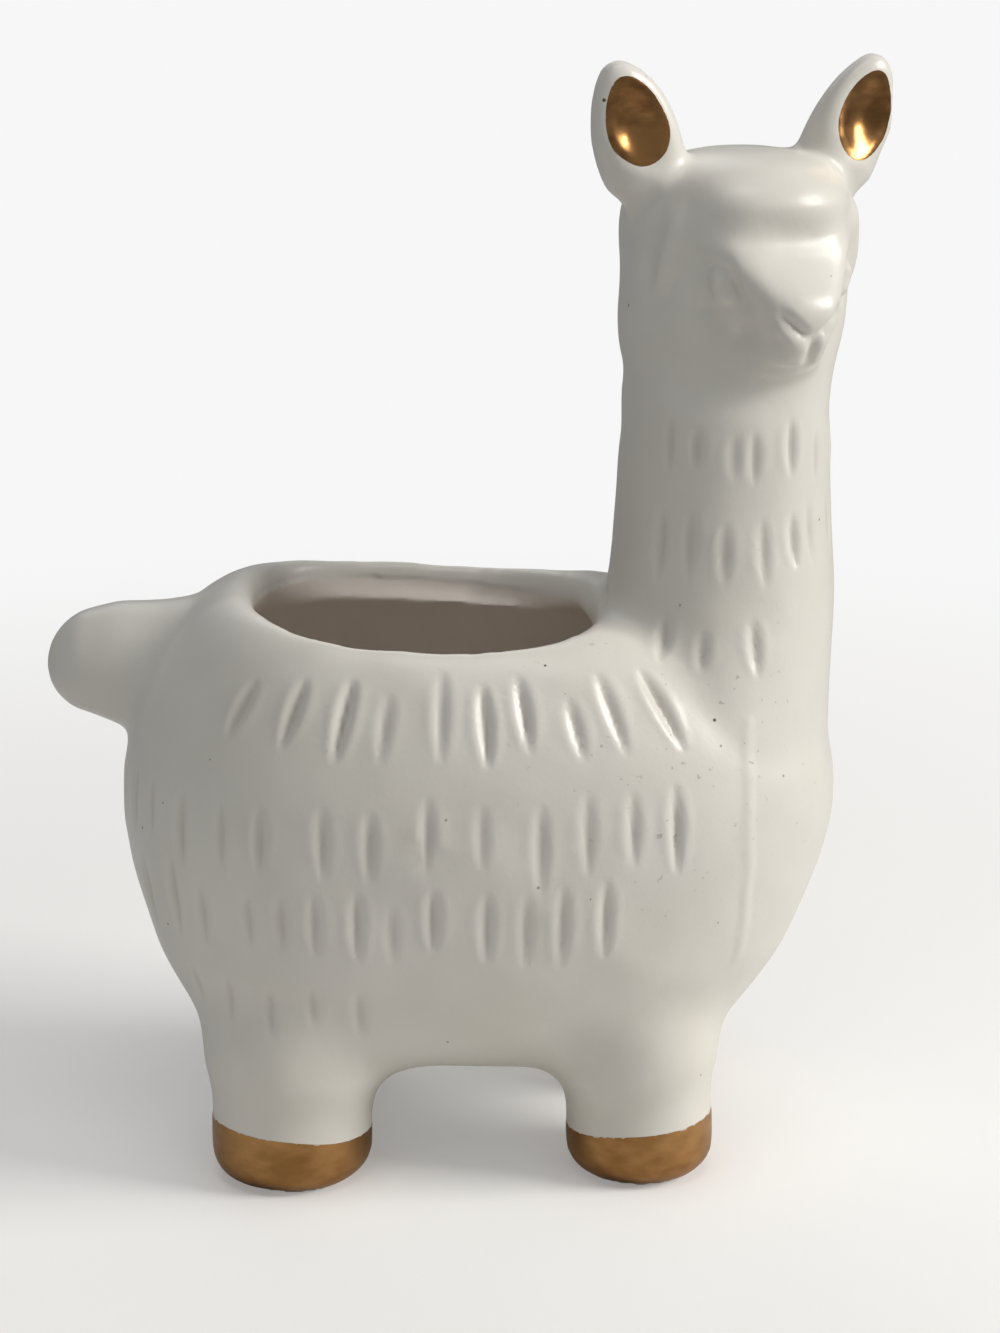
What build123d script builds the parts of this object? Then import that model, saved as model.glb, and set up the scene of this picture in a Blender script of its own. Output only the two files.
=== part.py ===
from build123d import *
import math
import os

# A slip-cast ceramic llama planter, in millimetres. +X is the animal's front, +Y its left, +Z up.
# It stands on its four feet at level zero, and its head looks to its right.

# Trunk
belly_level = 17.0
back_level = 88.0
rump_reach = 53.1
chest_reach = 58.0
trunk_half_width = 37.5
pot_wall = 5.0
floor_thickness = 5.0
lip_height = 5.4
trunk_taper_share = 0.06
back_slope_share = 0.070
# Each row: height between belly and back, then reach to the rear, reach to the front and half width,
# as shares of the trunk's own sizes, the outline's roundness, where 1 is an ellipse, and the share of the
# back's slope down to the neck.
trunk_shares = (
    (0.000, 0.550, 0.510, 0.490, 0.80, 0.0),
    (0.016, 0.655, 0.605, 0.600, 0.77, 0.0),
    (0.055, 0.750, 0.700, 0.710, 0.75, 0.0),
    (0.125, 0.832, 0.788, 0.820, 0.74, 0.0),
    (0.240, 0.908, 0.878, 0.918, 0.75, 0.0),
    (0.405, 0.972, 0.962, 0.980, 0.78, 0.0),
    (0.555, 1.000, 1.000, 1.000, 0.80, 0.0),
    (0.690, 0.985, 0.985, 0.975, 0.80, 0.2),
    (0.810, 0.930, 0.925, 0.905, 0.80, 0.5),
    (0.900, 0.840, 0.830, 0.820, 0.80, 0.8),
    (0.965, 0.735, 0.720, 0.720, 0.80, 1.0),
    (1.000, 0.610, 0.600, 0.585, 0.80, 1.0),
)

# Mouth in the back
mouth_rear_inset = 21.1
mouth_neck_gap = 3.6
mouth_side_inset = 12.1
mouth_roundness_share = 0.80
lip_rounding = 2.6
lip_rounding_height = 5.0
# Each row: height over the lip's rounding, then how far the mouth has widened, as shares of the rounding.
lip_shares = ((0.0, 0.0), (0.3, 0.05), (0.6, 0.20), (0.85, 0.47), (1.0, 0.80), (1.15, 0.98), (2.4, 1.0))

# Neck
neck_root_level = 62.0
neck_joint_level = 96.0
neck_top_level = 119.0
neck_chest_step = 1.6
neck_depth = 32.4
neck_width_share = 0.448
neck_wall = 5.0
neck_blend = 4.0
# Each row: height from the root to the top, spread to the rear, shift of the front and spread to each side,
# as shares of the neck's own length and width.
neck_shares = (
    (0.00, 0.620, 0.000, 0.80),
    (0.17, 0.330, 0.026, 0.60),
    (0.32, 0.150, 0.036, 0.40),
    (0.46, 0.055, 0.034, 0.22),
    (0.60, 0.020, 0.022, 0.09),
    (0.78, 0.006, 0.002, 0.02),
    (1.00, 0.000, -0.020, 0.00),
)

# Head
head_shift = 1.0
head_turn = 66.0
crown_level = 155.6
head_half_depth = 18.0
head_half_width = 17.5
head_hollow_level = 142.0
# Each row: height from the neck's top to the crown, how far the middle has moved from the neck's to the
# head's, shares of the head's half depth and half width, and the share of the brow's overhang that the
# face lies back by.
head_shares = (
    (0.00, 0.00, 0.925, 0.918, 0.00),
    (0.18, 0.60, 0.940, 0.960, 0.35),
    (0.42, 1.00, 0.985, 0.990, 1.00),
    (0.66, 1.00, 1.000, 1.000, 1.00),
    (0.80, 1.00, 0.965, 0.965, 1.00),
    (0.90, 1.00, 0.850, 0.850, 1.00),
    (0.97, 1.00, 0.630, 0.630, 1.00),
    (1.00, 1.00, 0.380, 0.380, 1.00),
)
brow_level = 145.8
brow_overhang = 2.2
face_half_width = 12.6
muzzle_reach = 23.2
muzzle_root = 4.0
muzzle_foot_level = 122.6
muzzle_half_width = 12.8
# The snout is a wedge, as wide as the face under the brow and narrow at the nose. Each row: height from its
# foot to the brow, then its reach and its half width as shares of the muzzle's own, and its roundness.
muzzle_shares = (
    (0.00, 0.60, 0.56, 1.00),
    (0.09, 0.80, 0.54, 1.00),
    (0.20, 0.90, 0.53, 0.98),
    (0.36, 0.97, 0.53, 0.95),
    (0.52, 1.00, 0.56, 0.92),
    (0.64, 0.96, 0.64, 0.88),
    (0.80, 0.84, 0.80, 0.82),
    (1.00, 0.68, 0.95, 0.76),
)

# Ears
ear_root_spread = 10.0
ear_root_level = 139.0
ear_tip_spread = 22.2
ear_tip_setback = -2.0
ear_tip_level = 169.0
ear_joint_level = 153.3
ear_half_width = 6.9
ear_half_thickness = 4.3
ear_turn = 6.0
ear_tip_rounding = 0.9
# Each row: height from root to tip, then shares of the ear's half width and half thickness.
ear_shares = (
    (0.00, 0.50, 1.00),
    (0.25, 0.72, 1.12),
    (0.45, 0.93, 1.10),
    (0.62, 1.00, 1.00),
    (0.79, 0.84, 0.86),
    (0.93, 0.50, 0.58),
    (1.00, 0.20, 0.30),
)
scoop_middle_share = 0.755
scoop_length = 17.4
scoop_radius = 6.2
scoop_floor = 0.6

# Tail
tail_length = 11.5
tail_nose_level = 76.6
tail_nose_radius = 8.6
tail_root_depth = 15.1
tail_root_level = 74.6
tail_root_radius = 12.9
tail_swell = 0.6
tail_joint_depth = 1.9
tail_joint_lean = 25.0

# Legs: the rear pair is thicker and stands wider than the front pair
rear_leg_inset = 26.5
rear_leg_side_share = 0.512
rear_leg_radius = 12.4
front_leg_inset = 30.4
front_leg_side_share = 0.475
front_leg_radius = 11.2
leg_inner_flare = 4.6
leg_outer_flare = 0.6
ankle_level = 10.4
# Heights between the ankle and the belly, as shares.
ankle_shares = (0.3, 0.55, 0.75, 0.9, 1.0)
haunch_level = 38.0
# Each row: height between the belly and the haunch's top, then the shift towards the trunk's middle and the
# swelling, as shares of the leg's place and radius.
haunch_shares = (
    (0.24, 0.020, 0.09),
    (0.50, 0.090, 0.15),
    (0.76, 0.200, 0.18),
    (1.00, 0.360, 0.18),
)
foot_rounding = 4.2
foot_thickness = 5.0
leg_wall = 4.6

# Coats of gold
coat = 0.4
hoof_line_level = 8.2
hoof_line_tilt = 6.5
bare_edge = 0.5

# The neck's hollow ends in a dome inside the head: height, then size, as shares of its own.
hollow_shares = ((0.0, 1.0), (0.45, 0.97), (0.78, 0.80), (0.94, 0.52), (1.0, 0.28))
bore_rounding = 3.0

overrun = 2.0
half_turn = 180.0
outline_steps = 16

# Places that follow from the sizes above
neck_front = chest_reach - neck_chest_step
neck_rear = neck_front - neck_depth
neck_half_width = trunk_half_width * neck_width_share
mouth_rear = rump_reach - mouth_rear_inset
mouth_front = neck_rear - mouth_neck_gap
mouth_half_width = trunk_half_width - mouth_side_inset
head_centre = (neck_rear + neck_front) / 2 + head_shift
tail_reach = rump_reach + tail_length
tail_root_reach = rump_reach - tail_root_depth
tail_joint_reach = rump_reach - tail_joint_depth
rear_leg_place = rear_leg_inset - rump_reach
rear_leg_spacing = trunk_half_width * rear_leg_side_share
front_leg_place = chest_reach - front_leg_inset
front_leg_spacing = trunk_half_width * front_leg_side_share


def closed_outline(points):
    """Return the face inside a smooth closed curve, every curve with its points at the same parameters."""
    parameters = [step / outline_steps for step in range(outline_steps + 1)]
    return make_face(Edge.make_spline(points, periodic=True, parameters=parameters))


def oval(level, centre, half_length, half_width, roundness_share=1.0, taper_share=0.0, slope_share=0.0):
    """Return a closed rounded outline round a centre, flat at one level or sloping down to the front."""
    points = []
    for step in range(outline_steps):
        angle = 2 * math.pi * step / outline_steps
        along = math.copysign(abs(math.cos(angle)) ** roundness_share, math.cos(angle))
        across = math.copysign(abs(math.sin(angle)) ** roundness_share, math.sin(angle))
        side = half_width * across * (1 - taper_share * along)
        place = centre[0] + half_length * along
        points.append((place, centre[1] + side, level - slope_share * place))
    return closed_outline(points)


def trunk(wall=0.0, floor=0.0, roof=0.0):
    """Return the trunk's closed form, drawn in by a wall, a floor and a roof."""
    low = belly_level + floor
    high = back_level - roof
    sections = []
    for level_share, rear_share, front_share, width_share, roundness_share, slope_share in trunk_shares:
        rear = wall - rump_reach * rear_share
        front = chest_reach * front_share - wall
        level = low + (high - low) * level_share
        half_width = trunk_half_width * width_share - wall
        middle = (rear + front) / 2
        slope = back_slope_share * slope_share
        outline = oval(
            level, (middle, 0), (front - rear) / 2, half_width, roundness_share, trunk_taper_share, slope
        )
        sections.append(outline)
    return loft(sections)


def neck(wall=0.0):
    """Return the neck's closed form, from its root in the trunk up to the head."""
    length = neck_front - neck_rear
    sections = []
    for level_share, rear_share, front_share, width_share in neck_shares:
        rear = neck_rear - length * rear_share + wall
        front = neck_front + length * front_share - wall
        half_width = neck_half_width * (1 + width_share) - wall
        level = neck_root_level + (neck_top_level - neck_root_level) * level_share
        sections.append(oval(level, ((rear + front) / 2, 0), (front - rear) / 2, half_width))
    return loft(sections)


def neck_top():
    """Return the middle and the half length of the neck's last outline."""
    length = neck_front - neck_rear
    rear_share, front_share = neck_shares[-1][1:3]
    rear = neck_rear - length * rear_share
    front = neck_front + length * front_share
    return (rear + front) / 2, (front - rear) / 2


def tail():
    """Return the tail's rounded cone, rooted inside the rump."""
    nose = Vector(tail_nose_radius - tail_reach, 0, tail_nose_level)
    root = Vector(-tail_root_reach, 0, tail_root_level)
    length = (nose - root).length
    lean = math.atan2(tail_root_radius - tail_nose_radius, length)
    touch = (length + tail_nose_radius * math.sin(lean), tail_nose_radius * math.cos(lean))
    middle = (touch[0] / 2, (touch[1] + tail_root_radius) / 2 + tail_swell)
    turn = (math.pi / 2 + lean) / 2 - lean
    between = (length + tail_nose_radius * math.cos(turn), tail_nose_radius * math.sin(turn))
    tip = (length + tail_nose_radius, 0)
    side = ThreePointArc((0, tail_root_radius), middle, touch)
    nose_arc = ThreePointArc(touch, between, tip)
    closing = Polyline(tip, (0, 0), (0, tail_root_radius))
    plane = Plane(origin=root, x_dir=nose - root, z_dir=(0, -1, 0))
    return revolve(plane * make_face(side + nose_arc + closing), Axis(root, nose - root))


def tail_plane():
    """Return the plane where the tail is luted to the rump."""
    lean = math.radians(tail_joint_lean)
    place = (-tail_joint_reach, 0, tail_root_level)
    return Plane(origin=place, z_dir=(-math.cos(lean), 0, math.sin(lean)))


def leg_outline(place, spacing, radius, height_share):
    """Return a leg's outline between its ankle and the belly, flared most towards the belly's middle."""
    flare_share = 1 - math.sqrt(1 - height_share**2)
    inward = math.atan2(-spacing, -place)
    points = []
    for step in range(outline_steps):
        angle = 2 * math.pi * step / outline_steps
        facing = (1 + math.cos(angle - inward)) / 2
        flare = leg_outer_flare + (leg_inner_flare - leg_outer_flare) * facing
        distance = radius + flare * flare_share
        points.append((place + distance * math.cos(angle), spacing + distance * math.sin(angle)))
    level = ankle_level + (belly_level - ankle_level) * height_share
    return Pos(0, 0, level) * closed_outline(points)


def ankle(place, spacing, radius):
    """Return the upper part of a leg, which flares from its round foot into the belly."""
    sections = [Pos(place, spacing, ankle_level) * make_face(Edge.make_circle(radius))]
    sections += [leg_outline(place, spacing, radius, height_share) for height_share in ankle_shares]
    return loft(sections)


def haunch(place, spacing, radius):
    """Return the swelling of the flank above a leg, which sinks into the trunk as it rises."""
    sections = [leg_outline(place, spacing, radius, 1.0)]
    for height_share, shift_share, swell_share in haunch_shares:
        level = belly_level + (haunch_level - belly_level) * height_share
        centre = (place * (1 - shift_share), spacing * (1 - shift_share))
        swell = leg_outer_flare + radius * swell_share
        sections.append(oval(level, centre, radius + swell, radius + swell))
    return loft(sections)


def round_post(place, spacing, radius, low, high, rounding):
    """Return an upright round post with its lowest edge rounded."""
    post = Cylinder(radius, high - low, align=(Align.CENTER, Align.CENTER, Align.MIN))
    post = fillet(post.faces().sort_by(Axis.Z)[0].edges(), rounding)
    return Pos(place, spacing, low) * post


def head_frame():
    """Return the head's own frame: +X out of the face, +Y to the animal's left."""
    turn = math.radians(head_turn)
    forward = (math.cos(turn), -math.sin(turn), 0)
    return Plane(origin=(head_centre, 0, 0), x_dir=forward, z_dir=(0, 0, 1))


def head(overhang=0.0):
    """Return the head's closed form without muzzle or ears, drawn in where the face lies back."""
    turn = math.radians(head_turn)
    shift = neck_top()[0] - head_centre
    sections = []
    for level_share, middle_share, depth_share, width_share, face_share in head_shares:
        level = neck_top_level + (crown_level - neck_top_level) * level_share
        still = shift * (1 - middle_share)
        centre = (still * math.cos(turn), still * math.sin(turn))
        half_depth = head_half_depth * depth_share - overhang * face_share
        half_width = head_half_width * width_share - overhang * face_share
        sections.append(oval(level, centre, half_depth, half_width))
    return head_frame() * loft(sections)


def face_recess():
    """Return what is taken off the head below the brow and between the side locks."""
    height = brow_level - neck_top_level + overrun
    depth = head_half_depth + overrun
    block = Box(depth, 2 * face_half_width, height, align=(Align.MIN, Align.CENTER, Align.MAX))
    return head_frame() * Pos(0, 0, brow_level) * block - head(brow_overhang)


def muzzle():
    """Return the wedge of the snout with the bridge of the nose, rooted inside the head."""
    sections = []
    for level_share, reach_share, width_share, roundness_share in muzzle_shares:
        level = muzzle_foot_level + (brow_level - muzzle_foot_level) * level_share
        half_depth = (muzzle_reach * reach_share - muzzle_root) / 2
        centre = (muzzle_root + half_depth, 0)
        sections.append(oval(level, centre, half_depth, muzzle_half_width * width_share, roundness_share))
    return head_frame() * loft(sections)


def ear_frame(side):
    """Return an ear's frame: origin at its root, +Z to its tip, -Y out of its scoop."""
    frame = head_frame()
    root = frame.from_local_coords(Vector(0, side * ear_root_spread, ear_root_level))
    tip = frame.from_local_coords(Vector(-ear_tip_setback, side * ear_tip_spread, ear_tip_level))
    out = frame.y_dir.rotate(Axis.Z, side * ear_turn)
    return Plane(origin=root, x_dir=out, z_dir=tip - root), (tip - root).length


def ear(side):
    """Return an ear's closed form, without its scoop."""
    frame, length = ear_frame(side)
    sections = []
    for level_share, width_share, thickness_share in ear_shares:
        half_width = ear_half_width * width_share
        half_thickness = ear_half_thickness * thickness_share
        sections.append(oval(length * level_share, (0, 0), half_width, half_thickness))
    form = loft(sections)
    tip = form.faces().sort_by(Axis.Z)[-1]
    return frame * fillet(tip.edges(), ear_tip_rounding)


def ear_joint(side):
    """Return the plane where an ear is luted to the head."""
    frame, length = ear_frame(side)
    share = (ear_joint_level - ear_root_level) / (ear_tip_level - ear_root_level)
    return frame.offset(length * share)


def scoop(side, inset=0.0):
    """Return the rounded hollow of an ear, drawn in by an inset."""
    frame, length = ear_frame(side)
    half_length = scoop_length / 2 - inset
    radius = scoop_radius - inset
    middle = Vector(0, -(scoop_floor + scoop_radius), length * scoop_middle_share)
    arc = EllipticalCenterArc((0, 0), half_length, radius, start_angle=0, arc_size=half_turn)
    profile = make_face(arc + Line((-half_length, 0), (half_length, 0)))
    across = Plane(origin=middle, x_dir=(0, 0, 1), z_dir=(1, 0, 0))
    return frame * revolve(across * profile, Axis(middle, (0, 0, 1)))


def mouth():
    """Return the opening through the lip, which widens round the lip's upper edge."""
    centre = ((mouth_front - mouth_rear) / 2, 0)
    half_length = (mouth_front + mouth_rear) / 2
    levels = [(back_level - lip_height - overrun, 0.0)]
    for height_share, widening_share in lip_shares:
        level = back_level + lip_rounding_height * (height_share - 1)
        levels.append((level, lip_rounding * widening_share))
    sections = []
    for level, widening in levels:
        sides = (half_length + widening, mouth_half_width + widening)
        sections.append(oval(level, centre, *sides, mouth_roundness_share, slope_share=back_slope_share))
    return loft(sections)


def head_hollow():
    """Return the domed end of the neck's hollow inside the head."""
    middle, half_length = neck_top()
    half_width = neck_half_width * (1 + neck_shares[-1][3]) - neck_wall
    height = head_hollow_level - neck_top_level
    sections = []
    for level_share, size_share in hollow_shares:
        level = neck_top_level + height * level_share
        half = (half_length - neck_wall) * size_share
        sections.append(oval(level, (middle, 0), half, half_width * size_share))
    return loft(sections)


def gold_line(place, spacing):
    """Return the tilted plane that a right hoof's gold is painted up to."""
    lean = math.radians(hoof_line_tilt)
    out = (-math.copysign(math.sin(lean), place), math.sin(lean), math.cos(lean))
    return Plane(origin=(place, spacing, hoof_line_level), z_dir=out)


def leg_pieces(place, spacing, radius):
    """Return the right-hand leg of a pair, its coat of gold and its bore."""
    foot = round_post(place, -spacing, radius, 0, ankle_level, foot_rounding)
    core = round_post(place, -spacing, radius - coat, 0, ankle_level, foot_rounding - coat)
    high = belly_level + floor_thickness + overrun
    bore = round_post(place, -spacing, radius - leg_wall, foot_thickness, high, bore_rounding)
    band = split(foot, bisect_by=gold_line(place, -spacing), keep=Keep.BOTTOM) - core
    ceramic = foot - band + ankle(place, -spacing, radius) - bore
    gilding = split(band, bisect_by=Plane.XY.offset(bare_edge), keep=Keep.TOP)
    return ceramic, gilding, bore


def build():
    """Return every piece under its name."""
    pieces = {}
    bores = []
    haunches = []
    for end, place, spacing, radius in (
        ("rear", rear_leg_place, rear_leg_spacing, rear_leg_radius),
        ("front", front_leg_place, front_leg_spacing, front_leg_radius),
    ):
        ceramic, gilding, bore = leg_pieces(place, spacing, radius)
        pieces[f"{end}_right_leg"] = ceramic
        pieces[f"{end}_left_leg"] = mirror(ceramic, about=Plane.XZ)
        pieces[f"{end}_right_hoof_gilding"] = gilding
        pieces[f"{end}_left_hoof_gilding"] = mirror(gilding, about=Plane.XZ)
        bores += [bore, mirror(bore, about=Plane.XZ)]
        swelling = haunch(place, -spacing, radius)
        haunches += [swelling, mirror(swelling, about=Plane.XZ)]

    trunk_form, neck_form = trunk(), neck()
    joined = trunk_form + neck_form
    joined = fillet(new_edges(trunk_form, neck_form, combined=joined), neck_blend)
    tail_joint = tail_plane()
    pieces["tail"] = split(tail(), bisect_by=tail_joint, keep=Keep.TOP)
    joined = joined + split(tail(), bisect_by=tail_joint, keep=Keep.BOTTOM)
    for swelling in haunches:
        joined = joined + swelling
    hollow = trunk(pot_wall, floor_thickness, lip_height) + neck(neck_wall)
    neck_joint = Plane.XY.offset(neck_joint_level)
    body = split(joined, bisect_by=neck_joint, keep=Keep.BOTTOM) - hollow - mouth()
    for bore in bores:
        body = body - bore
    pieces["body_pot"] = body
    neck_tube = split(neck_form, bisect_by=neck_joint, keep=Keep.TOP)
    pieces["neck"] = neck_tube - neck(neck_wall)
    skull = head() - face_recess() + muzzle()
    for hand, side in (("right", -1), ("left", 1)):
        joint = ear_joint(side)
        whole = ear(side)
        skull = skull + split(whole, bisect_by=joint, keep=Keep.BOTTOM)
        upper = split(whole, bisect_by=joint, keep=Keep.TOP)
        pieces[f"{hand}_ear_gilding"] = (upper & scoop(side)) - scoop(side, coat)
        pieces[f"{hand}_ear"] = upper - scoop(side)
    pieces["head"] = skull - head_hollow()
    return pieces


if __name__ == "__main__":
    os.makedirs("parts", exist_ok=True)
    for name, piece in build().items():
        export_step(piece, f"parts/{name}.step")
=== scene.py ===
import logging
import math
from collections.abc import Callable
from dataclasses import dataclass, field
from enum import Enum

import bmesh
import bpy
import numpy as np
from mathutils import Matrix, Vector
from mathutils.bvhtree import BVHTree


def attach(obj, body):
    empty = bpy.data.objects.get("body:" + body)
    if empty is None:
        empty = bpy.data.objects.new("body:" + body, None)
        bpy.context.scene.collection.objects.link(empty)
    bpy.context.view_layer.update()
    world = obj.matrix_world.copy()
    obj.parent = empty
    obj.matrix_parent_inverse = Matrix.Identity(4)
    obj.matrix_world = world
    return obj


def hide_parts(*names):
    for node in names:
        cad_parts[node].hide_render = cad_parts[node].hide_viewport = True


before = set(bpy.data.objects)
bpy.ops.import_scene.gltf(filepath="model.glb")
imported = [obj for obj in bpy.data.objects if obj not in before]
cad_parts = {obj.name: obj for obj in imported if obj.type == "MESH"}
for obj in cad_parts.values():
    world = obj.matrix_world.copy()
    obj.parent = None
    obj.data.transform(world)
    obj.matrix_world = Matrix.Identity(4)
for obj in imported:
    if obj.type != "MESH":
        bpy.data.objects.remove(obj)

# A slip-cast llama planter. The solids' own surface is the blank: it is drawn as one skin, softened as glaze
# softens clay, modelled by strokes, pressed with fleece marks and cut again at its luted joints.
# Sizes are in millimetres, +X is the animal's front, +Y its left and +Z up. Meshes are in metres.

LOG = logging.getLogger("planter")
MM = 0.001
Point = tuple[float, float, float]
Array = np.ndarray
Socket = bpy.types.NodeSocket
Material = bpy.types.Material
Mesh = bpy.types.Mesh
Body = bpy.types.Object


class Slot(str, Enum):
    """Material slots of the record."""

    CERAMIC = "white_ceramic"
    GOLD = "gold_paint"


class Mark(str, Enum):
    """Values that the surface carries for its finishes."""

    INSIDE = "inside"
    # painted shade: how strongly the glaze is darkened in valleys and in the fleece marks' troughs
    HOLLOW = "hollow"
    RIM = "rim"


def smoothstep(value: Array, low: float, high: float) -> Array:
    """Return a soft step from 0 at low to 1 at high."""
    share = np.clip((value - low) / (high - low), 0.0, 1.0)
    return share * share * (3.0 - 2.0 * share)


def fade(value: Array, low: float, high: float) -> Array:
    """Return a soft step from 1 at low to 0 at high."""
    return 1.0 - smoothstep(value, low, high)


def plateau(value: Array, low: float, start: float, end: float, high: float) -> Array:
    """Return a soft hill: 0 up to low, 1 from start to end, and 0 again from high on."""
    return smoothstep(value, low, start) * fade(value, end, high)


def smooth_table(rows: Array, reach: float) -> Array:
    """Round the corners of a table's curves.

    Args:
        rows: Rows of a place and its values, in rising order.
        reach: How far the rounding goes.

    Returns:
        The places, then each value's smooth curve.
    """
    place = np.linspace(rows[0, 0] - reach, rows[-1, 0] + reach, 240)
    width = max(int(reach / (place[1] - place[0])), 1)
    window = np.hanning(width + 2)[1:-1]
    curves = []
    for column in rows[:, 1:].T:
        curve = np.pad(np.interp(place, rows[:, 0], column), width, "edge")
        curves.append(np.convolve(curve, window / window.sum(), "same")[width:-width])
    return np.array((place, *curves))


def waves(angle: Array, seed: int, count: int = 5) -> Array:
    """Return an uneven line round a circle, as a hand draws it, between about -1 and 1.

    Args:
        angle: Angles round the circle, in radians.
        seed: Which line to draw.
        count: Number of waves that are added up.

    Returns:
        The line's height at each angle.
    """
    dice = np.random.default_rng(seed)
    line = np.zeros_like(angle)
    for turn in range(1, count + 1):
        line += np.sin(angle * turn + dice.uniform(0, 2 * math.pi)) * dice.uniform(0.4, 1.0) / turn
    return line / 1.6


@dataclass(frozen=True)
class HeadPlace:
    """Where the head sits and how far it is turned to the animal's right."""

    centre: float = 41.2
    turn: float = 66.0

    def axes(self) -> tuple[Array, Array]:
        """Return the directions out of the face and to the animal's left."""
        turn = math.radians(self.turn)
        return np.array((math.cos(turn), -math.sin(turn), 0.0)), np.array((math.sin(turn), math.cos(turn), 0.0))

    def seen(self, points: Array) -> tuple[Array, Array, Array]:
        """Return where points lie as the face sees them.

        Args:
            points: Rows of X, Y and Z.

        Returns:
            How far forward, how far to either side and how high each point lies.
        """
        forward, left = self.axes()
        local = points - (self.centre, 0.0, 0.0)
        return local @ forward, np.abs(local @ left), points[:, 2]

    def to_world(self, points: Array) -> Array:
        """Return points given as forward, left and up in the part's own frame.

        Args:
            points: Rows of forward, left and up.

        Returns:
            Rows of X, Y and Z.
        """
        forward, left = self.axes()
        points = np.asarray(points, float).reshape(-1, 3)
        base = np.array((self.centre, 0.0, 0.0))
        up = np.array((0.0, 0.0, 1.0))
        return base + points[:, :1] * forward + points[:, 1:2] * left + points[:, 2:] * up


@dataclass(frozen=True)
class Stroke:
    """One touch of the modelling tool along a path on the surface."""

    path: tuple[Point, ...]
    radius: float
    rise: float
    taper: float = 0.35
    mirrored: bool = True
    axis: float = 0.0


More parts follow.
